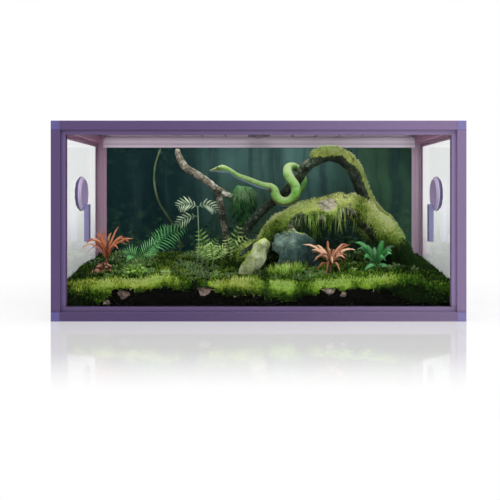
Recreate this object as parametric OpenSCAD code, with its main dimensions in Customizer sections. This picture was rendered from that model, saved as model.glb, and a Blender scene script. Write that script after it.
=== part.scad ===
// Front-opening reptile terrarium: an aluminium profile frame with clear side panes, two glass
// doors that slide past each other, mesh lids, and a planted forest floor with branches and rocks.
// Millimetres. +X is right, +Y is back, +Z is up. The origin is the centre of the footprint.

/* [Overall] */
// Width over the frame
overall_w = 1200; // [1180:5:1260]
// Depth over the frame
overall_d = 600; // [592:2:640]
// Height over the frame
overall_h = 580; // [572:2:640]

/* [Frame profile] */
// Side of the square profile
profile = 27; // [26:0.5:29]
// Wall of the profile
profile_wall = 2; // [1.5:0.1:2.5]
// Chamfer along the profile's corners
profile_chamfer = 1.2; // [0.5:0.1:1.4]
// Thickness of the legs that hold panes, panels and lids
leg_t = 3; // [2.5:0.1:3.3]
// Width of the pane legs on the posts and the bottom rails
pane_leg_w = 12; // [10:0.5:13]
// Width of the outer pane leg on the top side rails
side_top_leg_w = 15; // [12:0.5:17]
// Width of the inner leg on the rear top rail
rear_top_leg_w = 17; // [12:0.5:20]
// Width of the short ridge on the other side of each pane channel
ridge_w = 6; // [4:0.5:8]
// Width of the ledges that carry the lids and the base panel
ledge_w = 10; // [9:0.5:12]
// Depth of the lid ledge's upper face under the top of the frame
lid_ledge_drop = 8; // [7.5:0.5:10]
// Height of the base ledge's upper face over the table
base_ledge_top = 11; // [8:0.5:14]
// Length of a corner connector's plugs
plug_l = 25; // [15:1:35]
// Clearance of a plug inside the profile, on each side
plug_fit = 0.2; // [0.1:0.05:0.4]

/* [Doors] */
// Thickness of the door glass
door_t = 5; // [4:0.5:6]
// Clearance of the door glass in its groove, on each side
door_fit = 0.2; // [0.1:0.05:0.4]
// Distance from the front of the frame to the front of the door track
track_setback = 15; // [12:0.5:16]
// Visible height of the track and width of the jambs
track_h = 12; // [11:0.5:14]
// Walls of the track, and the web between its two grooves
track_wall = 3; // [2.5:0.1:3.2]
// Floor under the grooves of the bottom track and of the jambs
groove_floor = 4; // [3:0.5:6]
// Floor over the deeper grooves of the top track
top_groove_floor = 2; // [1.5:0.5:4]
// Gap under a door, and between a shut door and the floor of its jamb
door_gap = 0.4; // [0.2:0.1:0.8]
// Free height over a door, for lifting it out
door_lift = 2; // [1:0.5:5]
// How far the doors reach past each other when shut
door_overlap = 78; // [40:2:120]

/* [Panes and panels] */
// Thickness of the side glass
side_glass_t = 4; // [3:0.5:5]
// Clearance of a pane or panel in its channel, on each side
pane_fit = 0.1; // [0.05:0.05:0.3]
// Gap round the edges of a pane, panel or lid
edge_gap = 0.5; // [0.3:0.1:0.9]
// Thickness of the rear board
rear_board_t = 3; // [2:0.5:5]
// Thickness of the picture sheet
picture_t = 1; // [0.8:0.1:2]
// Thickness of the base panel
base_t = 6; // [4:0.5:8]

/* [Lids] */
// Height of a lid's frame
lid_t = 6; // [4:0.5:6.5]
// Width of a lid's frame
lid_frame_w = 16; // [14:0.5:22]
// Thickness of the mesh
mesh_t = 1.2; // [0.8:0.1:2]
// Pitch of the slots across the lid
slot_pitch = 16; // [12:1:30]
// Width of a slot
slot_w = 9; // [5:0.5:10]
// Length of a slot
slot_l = 76; // [50:1:110]
// Bar left between two rows of slots
slot_bridge = 8; // [5:0.5:12]
// Width of the flange under the bar between the lids
bar_flange_w = 24; // [22:0.5:30]
// Thickness of the web of the bar between the lids
bar_web_t = 4; // [3:0.5:6]
// Radius of a lid screw's shank
screw_r = 1.9; // [1.5:0.1:2.1]
// Radius of a lid screw's head
screw_head_r = 3.4; // [3:0.1:3.6]
// Height of a lid screw's head
screw_head_h = 1.6; // [1.2:0.1:1.9]
// Clearance of a lid screw in its holes
screw_fit = 0.15; // [0.1:0.05:0.3]

/* [Side ports] */
// Distance of the port's centre behind the middle of the pane
port_y = 20; // [0:1:60]
// Height of the port's centre over the table
port_z = 367; // [350:1:400]
// Radius of the hole in the side glass
port_hole_r = 41; // [36:0.5:44]
// Clearance of the flange's sleeve in the glass
port_sleeve_fit = 0.5; // [0.3:0.1:1]
// Radius of the flange on the inside of the pane
port_flange_r = 57.5; // [54:0.5:62]
// Thickness of that flange
port_flange_t = 4.5; // [3:0.5:6]
// Radius of the clamp nut on the outside of the pane
port_nut_r = 50; // [46:0.5:54]
// Thread clearance between the nut and the sleeve
nut_fit = 0.15; // [0.1:0.05:0.3]
// Radius of the dial's hub
dial_hub_r = 30; // [24:0.5:33]
// Running clearance of the hub in the flange
dial_hub_fit = 0.05; // [0.02:0.01:0.09]
// Gap between the dial and the flange
dial_gap = 0.3; // [0.2:0.05:0.5]
// Radius of the dial
dial_r = 56.5; // [55:0.5:57]
// Width of the dial's straight edge
dial_edge_t = 2.5; // [1.5:0.5:4]
// Height of the dial's bevel
dial_bevel_h = 7; // [5:0.5:9]
// Radius at the inner end of the bevel
dial_face_r = 47; // [45:0.5:49]
// Radius of the dish in the dial's face
dish_r = 44; // [40:0.5:44.5]
// Depth of the dish
dish_depth = 5; // [3:0.5:6]
// Radius of the washer that retains the hub
washer_r = 36; // [34:0.5:38]
// Length of the lever bar
lever_l = 124; // [100:1:135]
// Width of the lever bar along the pane
lever_w = 25; // [20:0.5:30]
// Thickness of the lever bar
lever_t = 15.5; // [12:0.5:18]
// Rounding of the lever bar's corners
lever_corner_r = 5; // [2:0.5:8]
// How far the lever bar reaches over the dial
lever_overlap = 22; // [18:0.5:26]
// Radius of the lever's peg in the dial
peg_r = 4; // [3:0.25:5]
// Length of the lever's peg
peg_l = 5; // [4:0.25:6]
// Clearance of the peg in the dial
peg_fit = 0.1; // [0.05:0.05:0.2]
// Degrees that a dial turns
dial_turn = 90; // [60:5:90]

/* [Ground] */
// Height of the soil's flat top
soil_top = 70; // [60:1:74]
// Least thickness of the moss carpet at the front
moss_t = 20; // [14:1:26]
// Rise of the moss carpet from the front to the back
moss_rise = 50; // [20:2:70]
// Distance of the ground from the doors' inner track
ground_setback = 3; // [2:0.5:10]
// Clearance round what is set into the ground
pocket_fit = 1; // [0.5:0.1:1.5]

/* [Branches and root] */
// Radius of the arched branch at the top of its arch
arch_r = 20; // [16:0.5:21]
// Radius of the driftwood branch
driftwood_r = 13; // [10:0.5:15]
// Radius of the liana
liana_r = 5; // [4:0.5:6]
// Half height of the mossy root's section at its crest
root_half_h = 36; // [30:1:38]
// Half depth of the mossy root's section at its crest
root_half_d = 58; // [45:1:60]
// Radius of the snake's body
snake_r = 16.5; // [14:0.5:17]

/* [Plants] */
// Thickness of a leaf at its midrib
leaf_t = 2; // [1.6:0.1:3]
// Width of a red strap leaf
strap_leaf_w = 17; // [12:1:22]
// Width of a bromeliad leaf
bromeliad_leaf_w = 16; // [12:1:20]
// Width of a broad leaf
broad_leaf_w = 24; // [16:1:28]
// Width of a small leaf
small_leaf_w = 13; // [9:1:16]
// Width over the leaflets of a palm frond
palm_frond_w = 74; // [56:2:84]
// Width over the leaflets of a tall pale frond
pale_frond_w = 52; // [40:2:60]
// Width over the leaflets of a low fern frond
low_frond_w = 34; // [24:2:40]

/* [Hidden] */
$fn = 48;

anodised_purple = [0.43, 0.36, 0.50];
anodised_pink = [0.56, 0.44, 0.54];
connector_violet = [0.47, 0.43, 0.64];
clear_glass = [0.86, 0.90, 0.89, 0.35];

out_x = overall_w / 2;
out_y = overall_d / 2;
in_x = out_x - profile;
in_y = out_y - profile;
low_z = profile;
high_z = overall_h - profile;
lid_ledge_z = overall_h - lid_ledge_drop;
channel = side_glass_t + 2 * pane_fit;
rear_channel = rear_board_t + picture_t + 2 * pane_fit;
side_pane_x = -out_x + leg_t + pane_fit;
side_face_x = side_pane_x + side_glass_t;
rear_leg_y = in_y + leg_t;
groove_w = door_t + 2 * door_fit;
track_d = 3 * track_wall + 2 * groove_w;
track_front_y = -out_y + track_setback;
front_groove_y = track_front_y + track_wall;
rear_groove_y = front_groove_y + groove_w + track_wall;
track_back_y = track_front_y + track_d;
door_bottom = low_z + groove_floor + door_gap;
door_top = high_z - top_groove_floor - door_lift;
door_edge_x = -in_x + groove_floor + door_gap;
ground_front_y = track_back_y + ground_setback;
ground_back_y = in_y - edge_gap;
ground_x = -(side_face_x + pane_fit + leg_t) - edge_gap;
mid_z = overall_h / 2;

// ---- Shapes that several pieces share ----

// A box between two opposite corners.
module block(low, high) {
    translate(low) cube(high - low);
}

// Draws the children, which are built for the left side, on the left or the right.
module on_side(right) {
    mirror([right ? 1 : 0, 0, 0]) children();
}

// A square with chamfered corners, from the origin.
module chamfered_square(side, c) {
    polygon([[c, 0], [side - c, 0], [side, c], [side, side - c],
        [side - c, side], [c, side], [0, side - c], [0, c]]);
}

// A length of the hollow square profile, upwards from the origin.
module hollow_profile(length) {
    linear_extrude(length) difference() {
        chamfered_square(profile, profile_chamfer);
        translate([profile_wall, profile_wall]) square(profile - 2 * profile_wall);
    }
}

// The same along +X, and along +Y.
module profile_along_x(length) {
    rotate([90, 0, 90]) hollow_profile(length);
}

module profile_along_y(length) {
    translate([0, length, 0]) rotate([90, 0, 0]) hollow_profile(length);
}

// ---- Curves: smooth paths, rings round them, and the solids between the rings ----

function unit(v) = v / norm(v);
function at(list, i) = list[max(0, min(len(list) - 1, i))];
function blend(a, b, c, d, t) = 0.5 * (2 * b + (c - a) * t + (2 * a - 5 * b + 4 * c - d) * t * t
    + (3 * b - a - 3 * c + d) * t * t * t);
function smooth(list, steps) = [for (i = [0:len(list) - 2]) for (k = [0:steps - 1])
    blend(at(list, i - 1), list[i], list[i + 1], at(list, i + 2), k / steps),
    list[len(list) - 1]];
function heading(path, i) = unit(at(path, i + 1) - at(path, i - 1));
function squared(n, t) = unit(n - t * (n * t));
function sides_of(path, start) = [for (i = 0, n = squared(start, heading(path, 0));
    i < len(path); n = squared(n, heading(path, i + 1)), i = i + 1) n];
function ring(p, t, n, wide, thick, count) = [for (k = [0:count - 1])
    p + n * wide * cos(360 * k / count) + cross(t, n) * thick * sin(360 * k / count)];
function rings(path, wide, thick, start, count) = let (n = sides_of(path, start))
    [for (i = [0:len(path) - 1]) ring(path[i], heading(path, i), n[i], wide[i], thick[i], count)];

// A closed solid through rings that have the same number of points.
module loft(loops) {
    count = len(loops[0]);
    last = len(loops) - 1;
    walls = [for (i = [0:last - 1]) for (k = [0:count - 1]) let (
        a = i * count + k, b = i * count + (k + 1) % count) each
        [[a, a + count, b + count], [a, b + count, b]]];
    start_cap = [for (k = [0:count - 1]) k];
    end_cap = [for (k = [count - 1:-1:0]) last * count + k];
    polyhedron([for (loop = loops) each loop], concat([start_cap, end_cap], walls));
}

// The same as a chain of short convex pieces, for solids that grow into each other.
module chain(loops) {
    for (i = [0:len(loops) - 2]) hull() loft([loops[i], loops[i + 1]]);
}

// A stone: rings that swell and close again, roughened by a wave round the rim.
function stone_rings(r, z0, z1, seed) = [for (s = [0:6]) let (
    a = 20 + 140 * s / 6, z = z0 + (z1 - z0) * (cos(20) - cos(a)) / (2 * cos(20)))
    [for (k = [0:9]) let (w = 36 * k, rr = r * sin(a) * (0.9 + 0.1 * sin(3 * w + seed)))
        [rr * cos(w), rr * sin(w), z]]];

// A leaf that bends through three points, flat to the given side.
module leaf(base, middle, tip, width, side) {
    path = smooth([base, middle, tip], 2);
    wide = [0.25, 0.8, 1, 0.7, 0.08] * width / 2;
    thick = [1, 1, 0.9, 0.7, 0.4] * leaf_t / 2;
    chain(rings(path, wide, thick, side, 4));
}

// A flat frond along +X: a midrib with pointed leaflets that lean forward on both sides.
module frond_blade(length, width, pairs) {
    step = length / (pairs + 1);
    reach = function (i) width / 2 * sin(25 + 140 * i / pairs);
    left = [for (i = [0:pairs - 1]) each [[step * (i + 0.25), leaf_t],
        [step * (i + 1.45), reach(i)], [step * (i + 0.85), leaf_t]]];
    right = [for (i = [pairs - 1:-1:0]) each [[step * (i + 0.85), -leaf_t],
        [step * (i + 1.45), -reach(i)], [step * (i + 0.25), -leaf_t]]];
    linear_extrude(leaf_t) polygon(concat([[0, -leaf_t], [0, leaf_t]], left, [[length, 0]], right));
}

// A frond from a base to a tip, turned about its own midrib by a roll angle.
module frond(base, tip, width, pairs, roll) {
    way = tip - base;
    length = norm(way);
    translate(base) rotate([0, -asin(way.z / length), atan2(way.y, way.x)]) rotate([roll, 0, 0])
        frond_blade(length, width, pairs);
}

// ---- Frame ----

module top_or_bottom_rail_x(top) {
    translate([-in_x, 0, top ? high_z : 0]) profile_along_x(2 * in_x);
}

module front_top_rail() {
    color(anodised_purple) {
        translate([0, -out_y, 0]) top_or_bottom_rail_x(true);
        block([-in_x, -in_y, lid_ledge_z - leg_t], [in_x, -in_y + ledge_w, lid_ledge_z]);
    }
}

module front_bottom_rail() {
    color(anodised_purple) {
        translate([0, -out_y, 0]) top_or_bottom_rail_x(false);
        block([-in_x, -in_y, base_ledge_top - leg_t], [in_x, -in_y + ledge_w, base_ledge_top]);
    }
}

module rear_top_rail() {
    ridge_y = rear_leg_y + rear_channel;
    color(anodised_pink) {
        translate([0, in_y, 0]) top_or_bottom_rail_x(true);
        block([-in_x, in_y - ledge_w, lid_ledge_z - leg_t], [in_x, in_y, lid_ledge_z]);
        block([-in_x, in_y, high_z - rear_top_leg_w], [in_x, rear_leg_y, high_z]);
        block([-in_x, ridge_y, high_z - ridge_w], [in_x, ridge_y + leg_t, high_z]);
    }
}

module rear_bottom_rail() {
    ridge_y = rear_leg_y + rear_channel;
    color(anodised_pink) {
        translate([0, in_y, 0]) top_or_bottom_rail_x(false);
        block([-in_x, in_y - ledge_w, base_ledge_top - leg_t], [in_x, in_y, base_ledge_top]);
        block([-in_x, in_y, low_z], [in_x, rear_leg_y, low_z + pane_leg_w]);
        block([-in_x, ridge_y, low_z], [in_x, ridge_y + leg_t, low_z + ridge_w]);
    }
}

// A side rail of the left side: its profile, its ledge, and the channel for the side glass.
module side_top_rail() {
    ridge_x = side_face_x + pane_fit;
    ledge_y = in_y - ledge_w;
    color(anodised_pink) {
        translate([-out_x, -in_y, high_z]) profile_along_y(2 * in_y);
        block([-in_x, -ledge_y, lid_ledge_z - leg_t], [-in_x + ledge_w, ledge_y, lid_ledge_z]);
        block([-out_x, -in_y, high_z - side_top_leg_w], [-out_x + leg_t, in_y, high_z]);
        block([ridge_x, -in_y, high_z - ridge_w], [ridge_x + leg_t, in_y, high_z]);
    }
}

module side_bottom_rail() {
    ridge_x = side_face_x + pane_fit;
    ledge_y = in_y - ledge_w;
    color(anodised_purple) {
        translate([-out_x, -in_y, 0]) profile_along_y(2 * in_y);
        block([-in_x, -ledge_y, base_ledge_top - leg_t],
            [-in_x + ledge_w, ledge_y, base_ledge_top]);
        block([-out_x, -in_y, low_z], [-out_x + leg_t, in_y, low_z + pane_leg_w]);
        block([ridge_x, -in_y, low_z], [ridge_x + leg_t, in_y, low_z + ridge_w]);
    }
}

module left_top_rail() {
    on_side(false) side_top_rail();
}

module right_top_rail() {
    on_side(true) side_top_rail();
}

module left_bottom_rail() {
    on_side(false) side_bottom_rail();
}

module right_bottom_rail() {
    on_side(true) side_bottom_rail();
}

// The two legs on a left post that hold the side glass, starting at y and reaching by a width.
module post_side_channel(y, sign) {
    ridge_x = side_face_x + pane_fit;
    leg_y = [y, y + sign * pane_leg_w];
    ridge_y = [y, y + sign * ridge_w];
    block([-out_x, min(leg_y), low_z + pane_leg_w],
        [-out_x + leg_t, max(leg_y), high_z - side_top_leg_w]);
    block([ridge_x, min(ridge_y), low_z + ridge_w],
        [ridge_x + leg_t, max(ridge_y), high_z - ridge_w]);
}

module front_post() {
    color(anodised_purple) {
        translate([-out_x, -out_y, low_z]) hollow_profile(high_z - low_z);
        post_side_channel(-in_y, 1);
    }
}

module rear_post() {
    ridge_y = rear_leg_y + rear_channel;
    color(anodised_pink) {
        translate([-out_x, in_y, low_z]) hollow_profile(high_z - low_z);
        post_side_channel(in_y, -1);
        block([-in_x, in_y, low_z + pane_leg_w],
            [-in_x + pane_leg_w, rear_leg_y, high_z - rear_top_leg_w]);
        block([-in_x, ridge_y, low_z + ridge_w],
            [-in_x + ridge_w, ridge_y + leg_t, high_z - ridge_w]);
    }
}

module front_left_post() {
    on_side(false) front_post();
}

module front_right_post() {
    on_side(true) front_post();
}

module rear_left_post() {
    on_side(false) rear_post();
}

module rear_right_post() {
    on_side(true) rear_post();
}

// A corner block with one plug for each of the three profiles that meet there.
module corner_connector() {
    plug = profile - 2 * profile_wall - 2 * plug_fit;
    inset = profile_wall + plug_fit;
    intersection() {
        linear_extrude(profile) chamfered_square(profile, profile_chamfer);
        rotate([90, 0, 90]) linear_extrude(profile) chamfered_square(profile, profile_chamfer);
    }
    translate([profile, inset, inset]) cube([plug_l, plug, plug]);
    translate([inset, profile, inset]) cube([plug, plug_l, plug]);
    translate([inset, inset, profile]) cube([plug, plug, plug_l]);
}

module corner_connectors() {
    color(connector_violet)
        for (x = [0, 1]) for (y = [0, 1]) for (z = [0, 1])
            mirror([x, 0, 0]) mirror([0, y, 0]) translate([0, 0, z * overall_h])
                mirror([0, 0, z]) translate([-out_x, -out_y, 0]) corner_connector();
}

// ---- Door track, jambs and doors ----

// The two grooves of a track, as a box each, between two heights or two depths.
module grooves_along_x(length, z0, z1) {
    for (y = [front_groove_y, rear_groove_y])
        block([-length / 2, y, z0], [length / 2, y + groove_w, z1]);
}

module bottom_door_track() {
    color(anodised_purple) difference() {
        block([-in_x, track_front_y, low_z], [in_x, track_back_y, low_z + track_h]);
        grooves_along_x(overall_w, low_z + groove_floor, low_z + 2 * track_h);
    }
}

module top_door_track() {
    color(anodised_purple) difference() {
        block([-in_x, track_front_y, high_z - track_h], [in_x, track_back_y, high_z]);
        grooves_along_x(overall_w, high_z - 2 * track_h, high_z - top_groove_floor);
    }
}

module jamb() {
    color(anodised_purple) difference() {
        block([-in_x, track_front_y, low_z + track_h],
            [-in_x + track_h, track_back_y, high_z - track_h]);
        for (y = [front_groove_y, rear_groove_y])
            block([-in_x + groove_floor, y, 0], [0, y + groove_w, overall_h]);
    }
}

module left_jamb() {
    on_side(false) jamb();
}

module right_jamb() {
    on_side(true) jamb();
}

// A door pane in the groove that starts at y, drawn for the left side.
module door_pane(y) {
    color(clear_glass) block([door_edge_x, y + door_fit, door_bottom],
        [door_overlap / 2, y + door_fit + door_t, door_top]);
}

module left_glass_door() {
    on_side(false) door_pane(front_groove_y);
}

module right_glass_door() {
    on_side(true) door_pane(rear_groove_y);
}

// ---- Panes, panels and lids ----

module side_glass() {
    color(clear_glass) difference() {
        block([side_pane_x, -in_y + edge_gap, low_z],
            [side_face_x, in_y - edge_gap, high_z - edge_gap]);
        port_axis() cylinder(r = port_hole_r, h = overall_w);
    }
}

module left_side_glass() {
    on_side(false) side_glass();
}

module right_side_glass() {
    on_side(true) side_glass();
}

module forest_picture() {
    y = rear_leg_y + pane_fit;
    color([0.13, 0.20, 0.21]) block([-in_x + edge_gap, y, low_z],
        [in_x - edge_gap, y + picture_t, high_z - edge_gap]);
}

module rear_board() {
    y = rear_leg_y + pane_fit + picture_t;
    color([0.16, 0.17, 0.18]) block([-in_x + edge_gap, y, low_z],
        [in_x - edge_gap, y + rear_board_t, high_z - edge_gap]);
}

module base_panel() {
    color([0.12, 0.12, 0.13]) block([-in_x + edge_gap, -in_y + edge_gap, base_ledge_top],
        [in_x - edge_gap, in_y - edge_gap, base_ledge_top + base_t]);
}

// Where the screws of the left lid stand.
lid_x0 = -in_x + edge_gap;
lid_x1 = -bar_web_t / 2 - edge_gap;
lid_y = in_y - edge_gap;
screw_x = [-in_x + ledge_w / 2, -bar_flange_w / 4 - bar_web_t / 4];
screw_y = in_y - ledge_w / 2;

module screw_axes() {
    for (x = screw_x) for (y = [-screw_y, screw_y]) translate([x, y, 0]) children();
}

// The slots of one lid, in rows along X.
module mesh_slots() {
    field_x = lid_x1 - lid_x0 - 2 * lid_frame_w;
    field_y = 2 * lid_y - 2 * lid_frame_w;
    rows = floor((field_x + slot_bridge) / (slot_l + slot_bridge));
    lines = floor(field_y / slot_pitch);
    x0 = (lid_x0 + lid_x1 - rows * slot_l - (rows - 1) * slot_bridge) / 2;
    for (i = [0:rows - 1]) for (j = [0:lines - 1])
        translate([x0 + i * (slot_l + slot_bridge), (j - (lines - 1) / 2) * slot_pitch - slot_w / 2])
            square([slot_l, slot_w]);
}

module mesh_lid() {
    field_low = [lid_x0 + lid_frame_w, -lid_y + lid_frame_w];
    field_high = [lid_x1 - lid_frame_w, lid_y - lid_frame_w];
    color([0.13, 0.13, 0.14]) {
        difference() {
            block([lid_x0, -lid_y, lid_ledge_z], [lid_x1, lid_y, lid_ledge_z + lid_t]);
            block([field_low.x, field_low.y, 0], [field_high.x, field_high.y, 2 * overall_h]);
            screw_axes() cylinder(r = screw_r + screw_fit, h = 2 * overall_h);
        }
        translate([0, 0, lid_ledge_z + (lid_t - mesh_t) / 2]) linear_extrude(mesh_t)
            difference() {
                translate(field_low) square(field_high - field_low);
                mesh_slots();
            }
    }
}

module left_mesh_lid() {
    on_side(false) mesh_lid();
}

module right_mesh_lid() {
    on_side(true) mesh_lid();
}

module lid_bar() {
    y = in_y - ledge_w - edge_gap;
    color(anodised_pink) {
        block([-bar_flange_w / 2, -y, lid_ledge_z - leg_t], [bar_flange_w / 2, y, lid_ledge_z]);
        block([-bar_web_t / 2, -lid_y, lid_ledge_z], [bar_web_t / 2, lid_y, lid_ledge_z + lid_t]);
    }
}

module lid_screws() {
    color("silver") for (right = [false, true]) on_side(right) screw_axes() {
        translate([0, 0, lid_ledge_z]) cylinder(r = screw_r, h = lid_t + screw_head_h / 2);
        translate([0, 0, lid_ledge_z + lid_t]) cylinder(r = screw_head_r, h = screw_head_h);
    }
}

// ---- Side ports: flange, clamp nut, dial, washer and lever, built for the left pane ----

// Stands the children at the port's centre, with their +Z along +X.
module port_axis() {
    translate([-out_x, port_y, port_z]) rotate([0, 90, 0]) children();
}

port_glass_in = side_face_x + out_x;
port_glass_out = side_pane_x + out_x;
sleeve_r = port_hole_r - port_sleeve_fit;
flange_face = port_glass_in + port_flange_t;
dial_back = flange_face + dial_gap;
dial_front = dial_back + dial_edge_t + dial_bevel_h;
washer_t = leg_t - 1;
peg_offset = dial_r - peg_r - 2;

module port_flange() {
    bore_r = dial_hub_r + dial_hub_fit;
    color([0.36, 0.31, 0.46]) port_axis() rotate_extrude()
        polygon([[bore_r, washer_t + dial_gap], [sleeve_r, washer_t + dial_gap],
            [sleeve_r, port_glass_in], [port_flange_r, port_glass_in],
            [port_flange_r, flange_face - 1], [port_flange_r - 1, flange_face],
            [bore_r, flange_face]]);
}

module left_port_flange() {
    on_side(false) port_flange();
}

module right_port_flange() {
    on_side(true) port_flange();
}

// The nut has shallow finger notches round its rim.
module port_nut() {
    notches = 12;
    color([0.36, 0.31, 0.46]) port_axis() difference() {
        cylinder(r = port_nut_r, h = port_glass_out);
        cylinder(r = sleeve_r + nut_fit, h = 3 * port_glass_out, center = true);
        for (a = [0:360 / notches:359]) rotate([0, 0, a]) translate([port_nut_r + 2, 0, 0])
            cylinder(r = 5, h = 3 * port_glass_out, center = true);
    }
}

module left_port_nut() {
    on_side(false) port_nut();
}

module right_port_nut() {
    on_side(true) port_nut();
}

module port_washer() {
    color([0.30, 0.27, 0.38]) port_axis() cylinder(r = washer_r, h = washer_t);
}

module left_port_washer() {
    on_side(false) port_washer();
}

module right_port_washer() {
    on_side(true) port_washer();
}

// The dial: hub, straight edge, bevel and a spherical dish, with a hole for the lever's peg.
module dial() {
    dish_ball_r = (dish_r * dish_r + dish_depth * dish_depth) / (2 * dish_depth);
    color([0.66, 0.60, 0.76]) port_axis() difference() {
        rotate_extrude() polygon([[0, washer_t], [dial_hub_r, washer_t], [dial_hub_r, dial_back],
            [dial_r, dial_back], [dial_r, dial_back + dial_edge_t], [dial_face_r, dial_front],
            [0, dial_front]]);
        translate([0, 0, dial_front - dish_depth + dish_ball_r]) sphere(r = dish_ball_r, $fn = 128);
        translate([peg_offset, 0, dial_front - peg_l - peg_fit])
            cylinder(r = peg_r + peg_fit, h = overall_w);
    }
}

module left_dial() {
    on_side(false) dial();
}

module right_dial() {
    on_side(true) dial();
}

// The lever hangs from the dial's rim: a bar with rounded corners and a peg into the dial.
module lever() {
    start = dial_r - lever_overlap;
    color([0.52, 0.48, 0.68]) port_axis() {
        translate([start, -lever_w / 2, dial_front]) linear_extrude(lever_t)
            rounded_rectangle(lever_l, lever_w, lever_corner_r);
        translate([peg_offset, 0, dial_front - peg_l]) cylinder(r = peg_r, h = peg_l + 1);
    }
}

module rounded_rectangle(length, width, r) {
    translate([r, 0]) square([length - 2 * r, width]);
    translate([0, r]) square([length, width - 2 * r]);
    for (x = [r, length - r]) for (y = [r, width - r]) translate([x, y]) circle(r);
}

module left_lever() {
    on_side(false) lever();
}

module right_lever() {
    on_side(true) lever();
}

// ---- Places of the planting ----

// The planting spreads with the cabinet. Its places are given for 1200 x 600 x 580.
wide_share = overall_w / 1200;
deep_share = overall_d / 600;
high_share = overall_h / 580;
plant_share = min(wide_share, deep_share, high_share);
function spot(p) = [p.x * wide_share, p.y * deep_share, p.z * high_share];
function spots(list) = [for (p = list) spot(p)];
function round_foot(x, y, r) = [x * wide_share, y * deep_share, r];
function over(foot, z) = [foot.x, foot.y, z * high_share];
function in_soil(foot) = [foot.x, foot.y, soil_top];

// ---- Ground ----

// Humps in the moss: place, reach along X and Y, and height.
humps = [for (h = [[-430, -230, 90, 70, 12], [-275, -215, 70, 80, 28], [-60, -230, 90, 60, 18],
    [290, -235, 120, 60, 14], [450, -205, 80, 90, 34], [-480, -40, 110, 110, 24],
    [300, -100, 150, 90, 26], [-330, 20, 90, 120, 18], [60, 190, 300, 80, 20]])
    [h[0] * wide_share, h[1] * deep_share, h[2] * wide_share, h[3] * deep_share,
        h[4] * high_share]];

function hump_height(x, y) = [for (h = humps)
    h[4] * exp(-pow((x - h[0]) / h[2], 2) - pow((y - h[1]) / h[3], 2))];
function total(list, i = 0) = i == len(list) ? 0 : list[i] + total(list, i + 1);
function moss_z(x, y) = soil_top + moss_t + total(hump_height(x, y))
    + moss_rise * (y - ground_front_y) / (ground_back_y - ground_front_y);

// Rooted things: x, y and the radius of the round foot that stands in the ground.
arch_left_foot = round_foot(-80, 130, 0.7 * arch_r);
arch_right_foot = round_foot(492, 175, 0.75 * arch_r);
driftwood_foot = round_foot(-117, 180, driftwood_r);
liana_foot = round_foot(-282, 200, liana_r + plant_share);
root_left_foot = round_foot(-43, 30, 0.69 * root_half_d);
root_right_foot = round_foot(474, 45, 0.69 * root_half_d);
boulder_foot = round_foot(128, -34, 46 * plant_share);
slab_foot = round_foot(-42, -118, 24 * plant_share);
red_rock_foot = round_foot(-489, -104, 33 * plant_share);
strap_foot = round_foot(-490, -56, 8 * plant_share);
palm_feet = [round_foot(-365, 10, 7 * plant_share), round_foot(-395, -15, 7 * plant_share)];
pale_fern_foot = round_foot(-209, 80, 7 * plant_share);
low_fern_feet = [for (p = [[-170, 30], [-95, 60], [-150, -20]])
    round_foot(p.x, p.y, 6 * plant_share)];
leafy_foot = round_foot(-373, -186, 8 * plant_share);
bromeliad_foot = round_foot(222, -150, 10 * plant_share);
broadleaf_foot = round_foot(368, -122, 10 * plant_share);
feet = concat([arch_left_foot, arch_right_foot, driftwood_foot, liana_foot, root_left_foot,
    root_right_foot, boulder_foot, slab_foot, red_rock_foot, strap_foot, pale_fern_foot,
    leafy_foot, bromeliad_foot, broadleaf_foot], palm_feet, low_fern_feet);

// Stones seen through the front glass: x, radius, lowest and highest point over the table.
glass_stones = [for (s = [[-398, 25, 50, 86], [-448, 11, 38, 54], [-158, 28, 58, 108],
    [206, 22, 68, 104], [250, 14, 62, 84], [-70, 9, 60, 76]])
    [s[0] * wide_share, s[1] * plant_share, s[2] * high_share, s[3] * high_share]];
function stone_y(s) = ground_front_y + s[1] - 2;

// The hollows that those stones lie in.
module stone_hollows() {
    for (s = glass_stones) translate([s[0], stone_y(s), s[2]])
        cylinder(r = s[1] + pocket_fit, h = s[3] - s[2] + pocket_fit);
}

// The soil fills the tray between the rails, and reaches the side glass above their ridges.
module soil_bed() {
    over_ridge = low_z + ridge_w + edge_gap;
    tray_back_y = in_y - edge_gap;
    color([0.10, 0.08, 0.06]) difference() {
        union() {
            block([-in_x + edge_gap, ground_front_y, base_ledge_top + base_t],
                [in_x - edge_gap, tray_back_y, soil_top]);
            block([-ground_x, ground_front_y, over_ridge], [ground_x, ground_back_y, soil_top]);
        }
        stone_hollows();
    }
}

// The moss carpet: a grid of heights over the soil's flat top.
module moss_grid(columns, rows) {
    x = function (i) -ground_x + 2 * ground_x * i / columns;
    y = function (j) ground_front_y + (ground_back_y - ground_front_y) * j / rows;
    wide = columns + 1;
    top = [for (j = [0:rows]) for (i = [0:columns]) [x(i), y(j), moss_z(x(i), y(j))]];
    rim = concat([for (i = [0:columns - 1]) i], [for (j = [0:rows - 1]) j * wide + columns],
        [for (i = [columns:-1:1]) rows * wide + i], [for (j = [rows:-1:1]) j * wide]);
    skirt = [for (k = rim) [top[k].x, top[k].y, soil_top]];
    first = len(top);
    middle = first + len(rim);
    upper = [for (j = [0:rows - 1]) for (i = [0:columns - 1]) let (a = j * wide + i) each
        [[a, a + wide, a + wide + 1], [a, a + wide + 1, a + 1]]];
    around = [for (k = [0:len(rim) - 1]) let (n = (k + 1) % len(rim)) each
        [[rim[k], rim[n], first + n], [rim[k], first + n, first + k]]];
    under = [for (k = [0:len(rim) - 1]) [first + k, first + (k + 1) % len(rim), middle]];
    polyhedron(concat(top, skirt, [[0, 0, soil_top]]), concat(upper, around, under));
}

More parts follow.
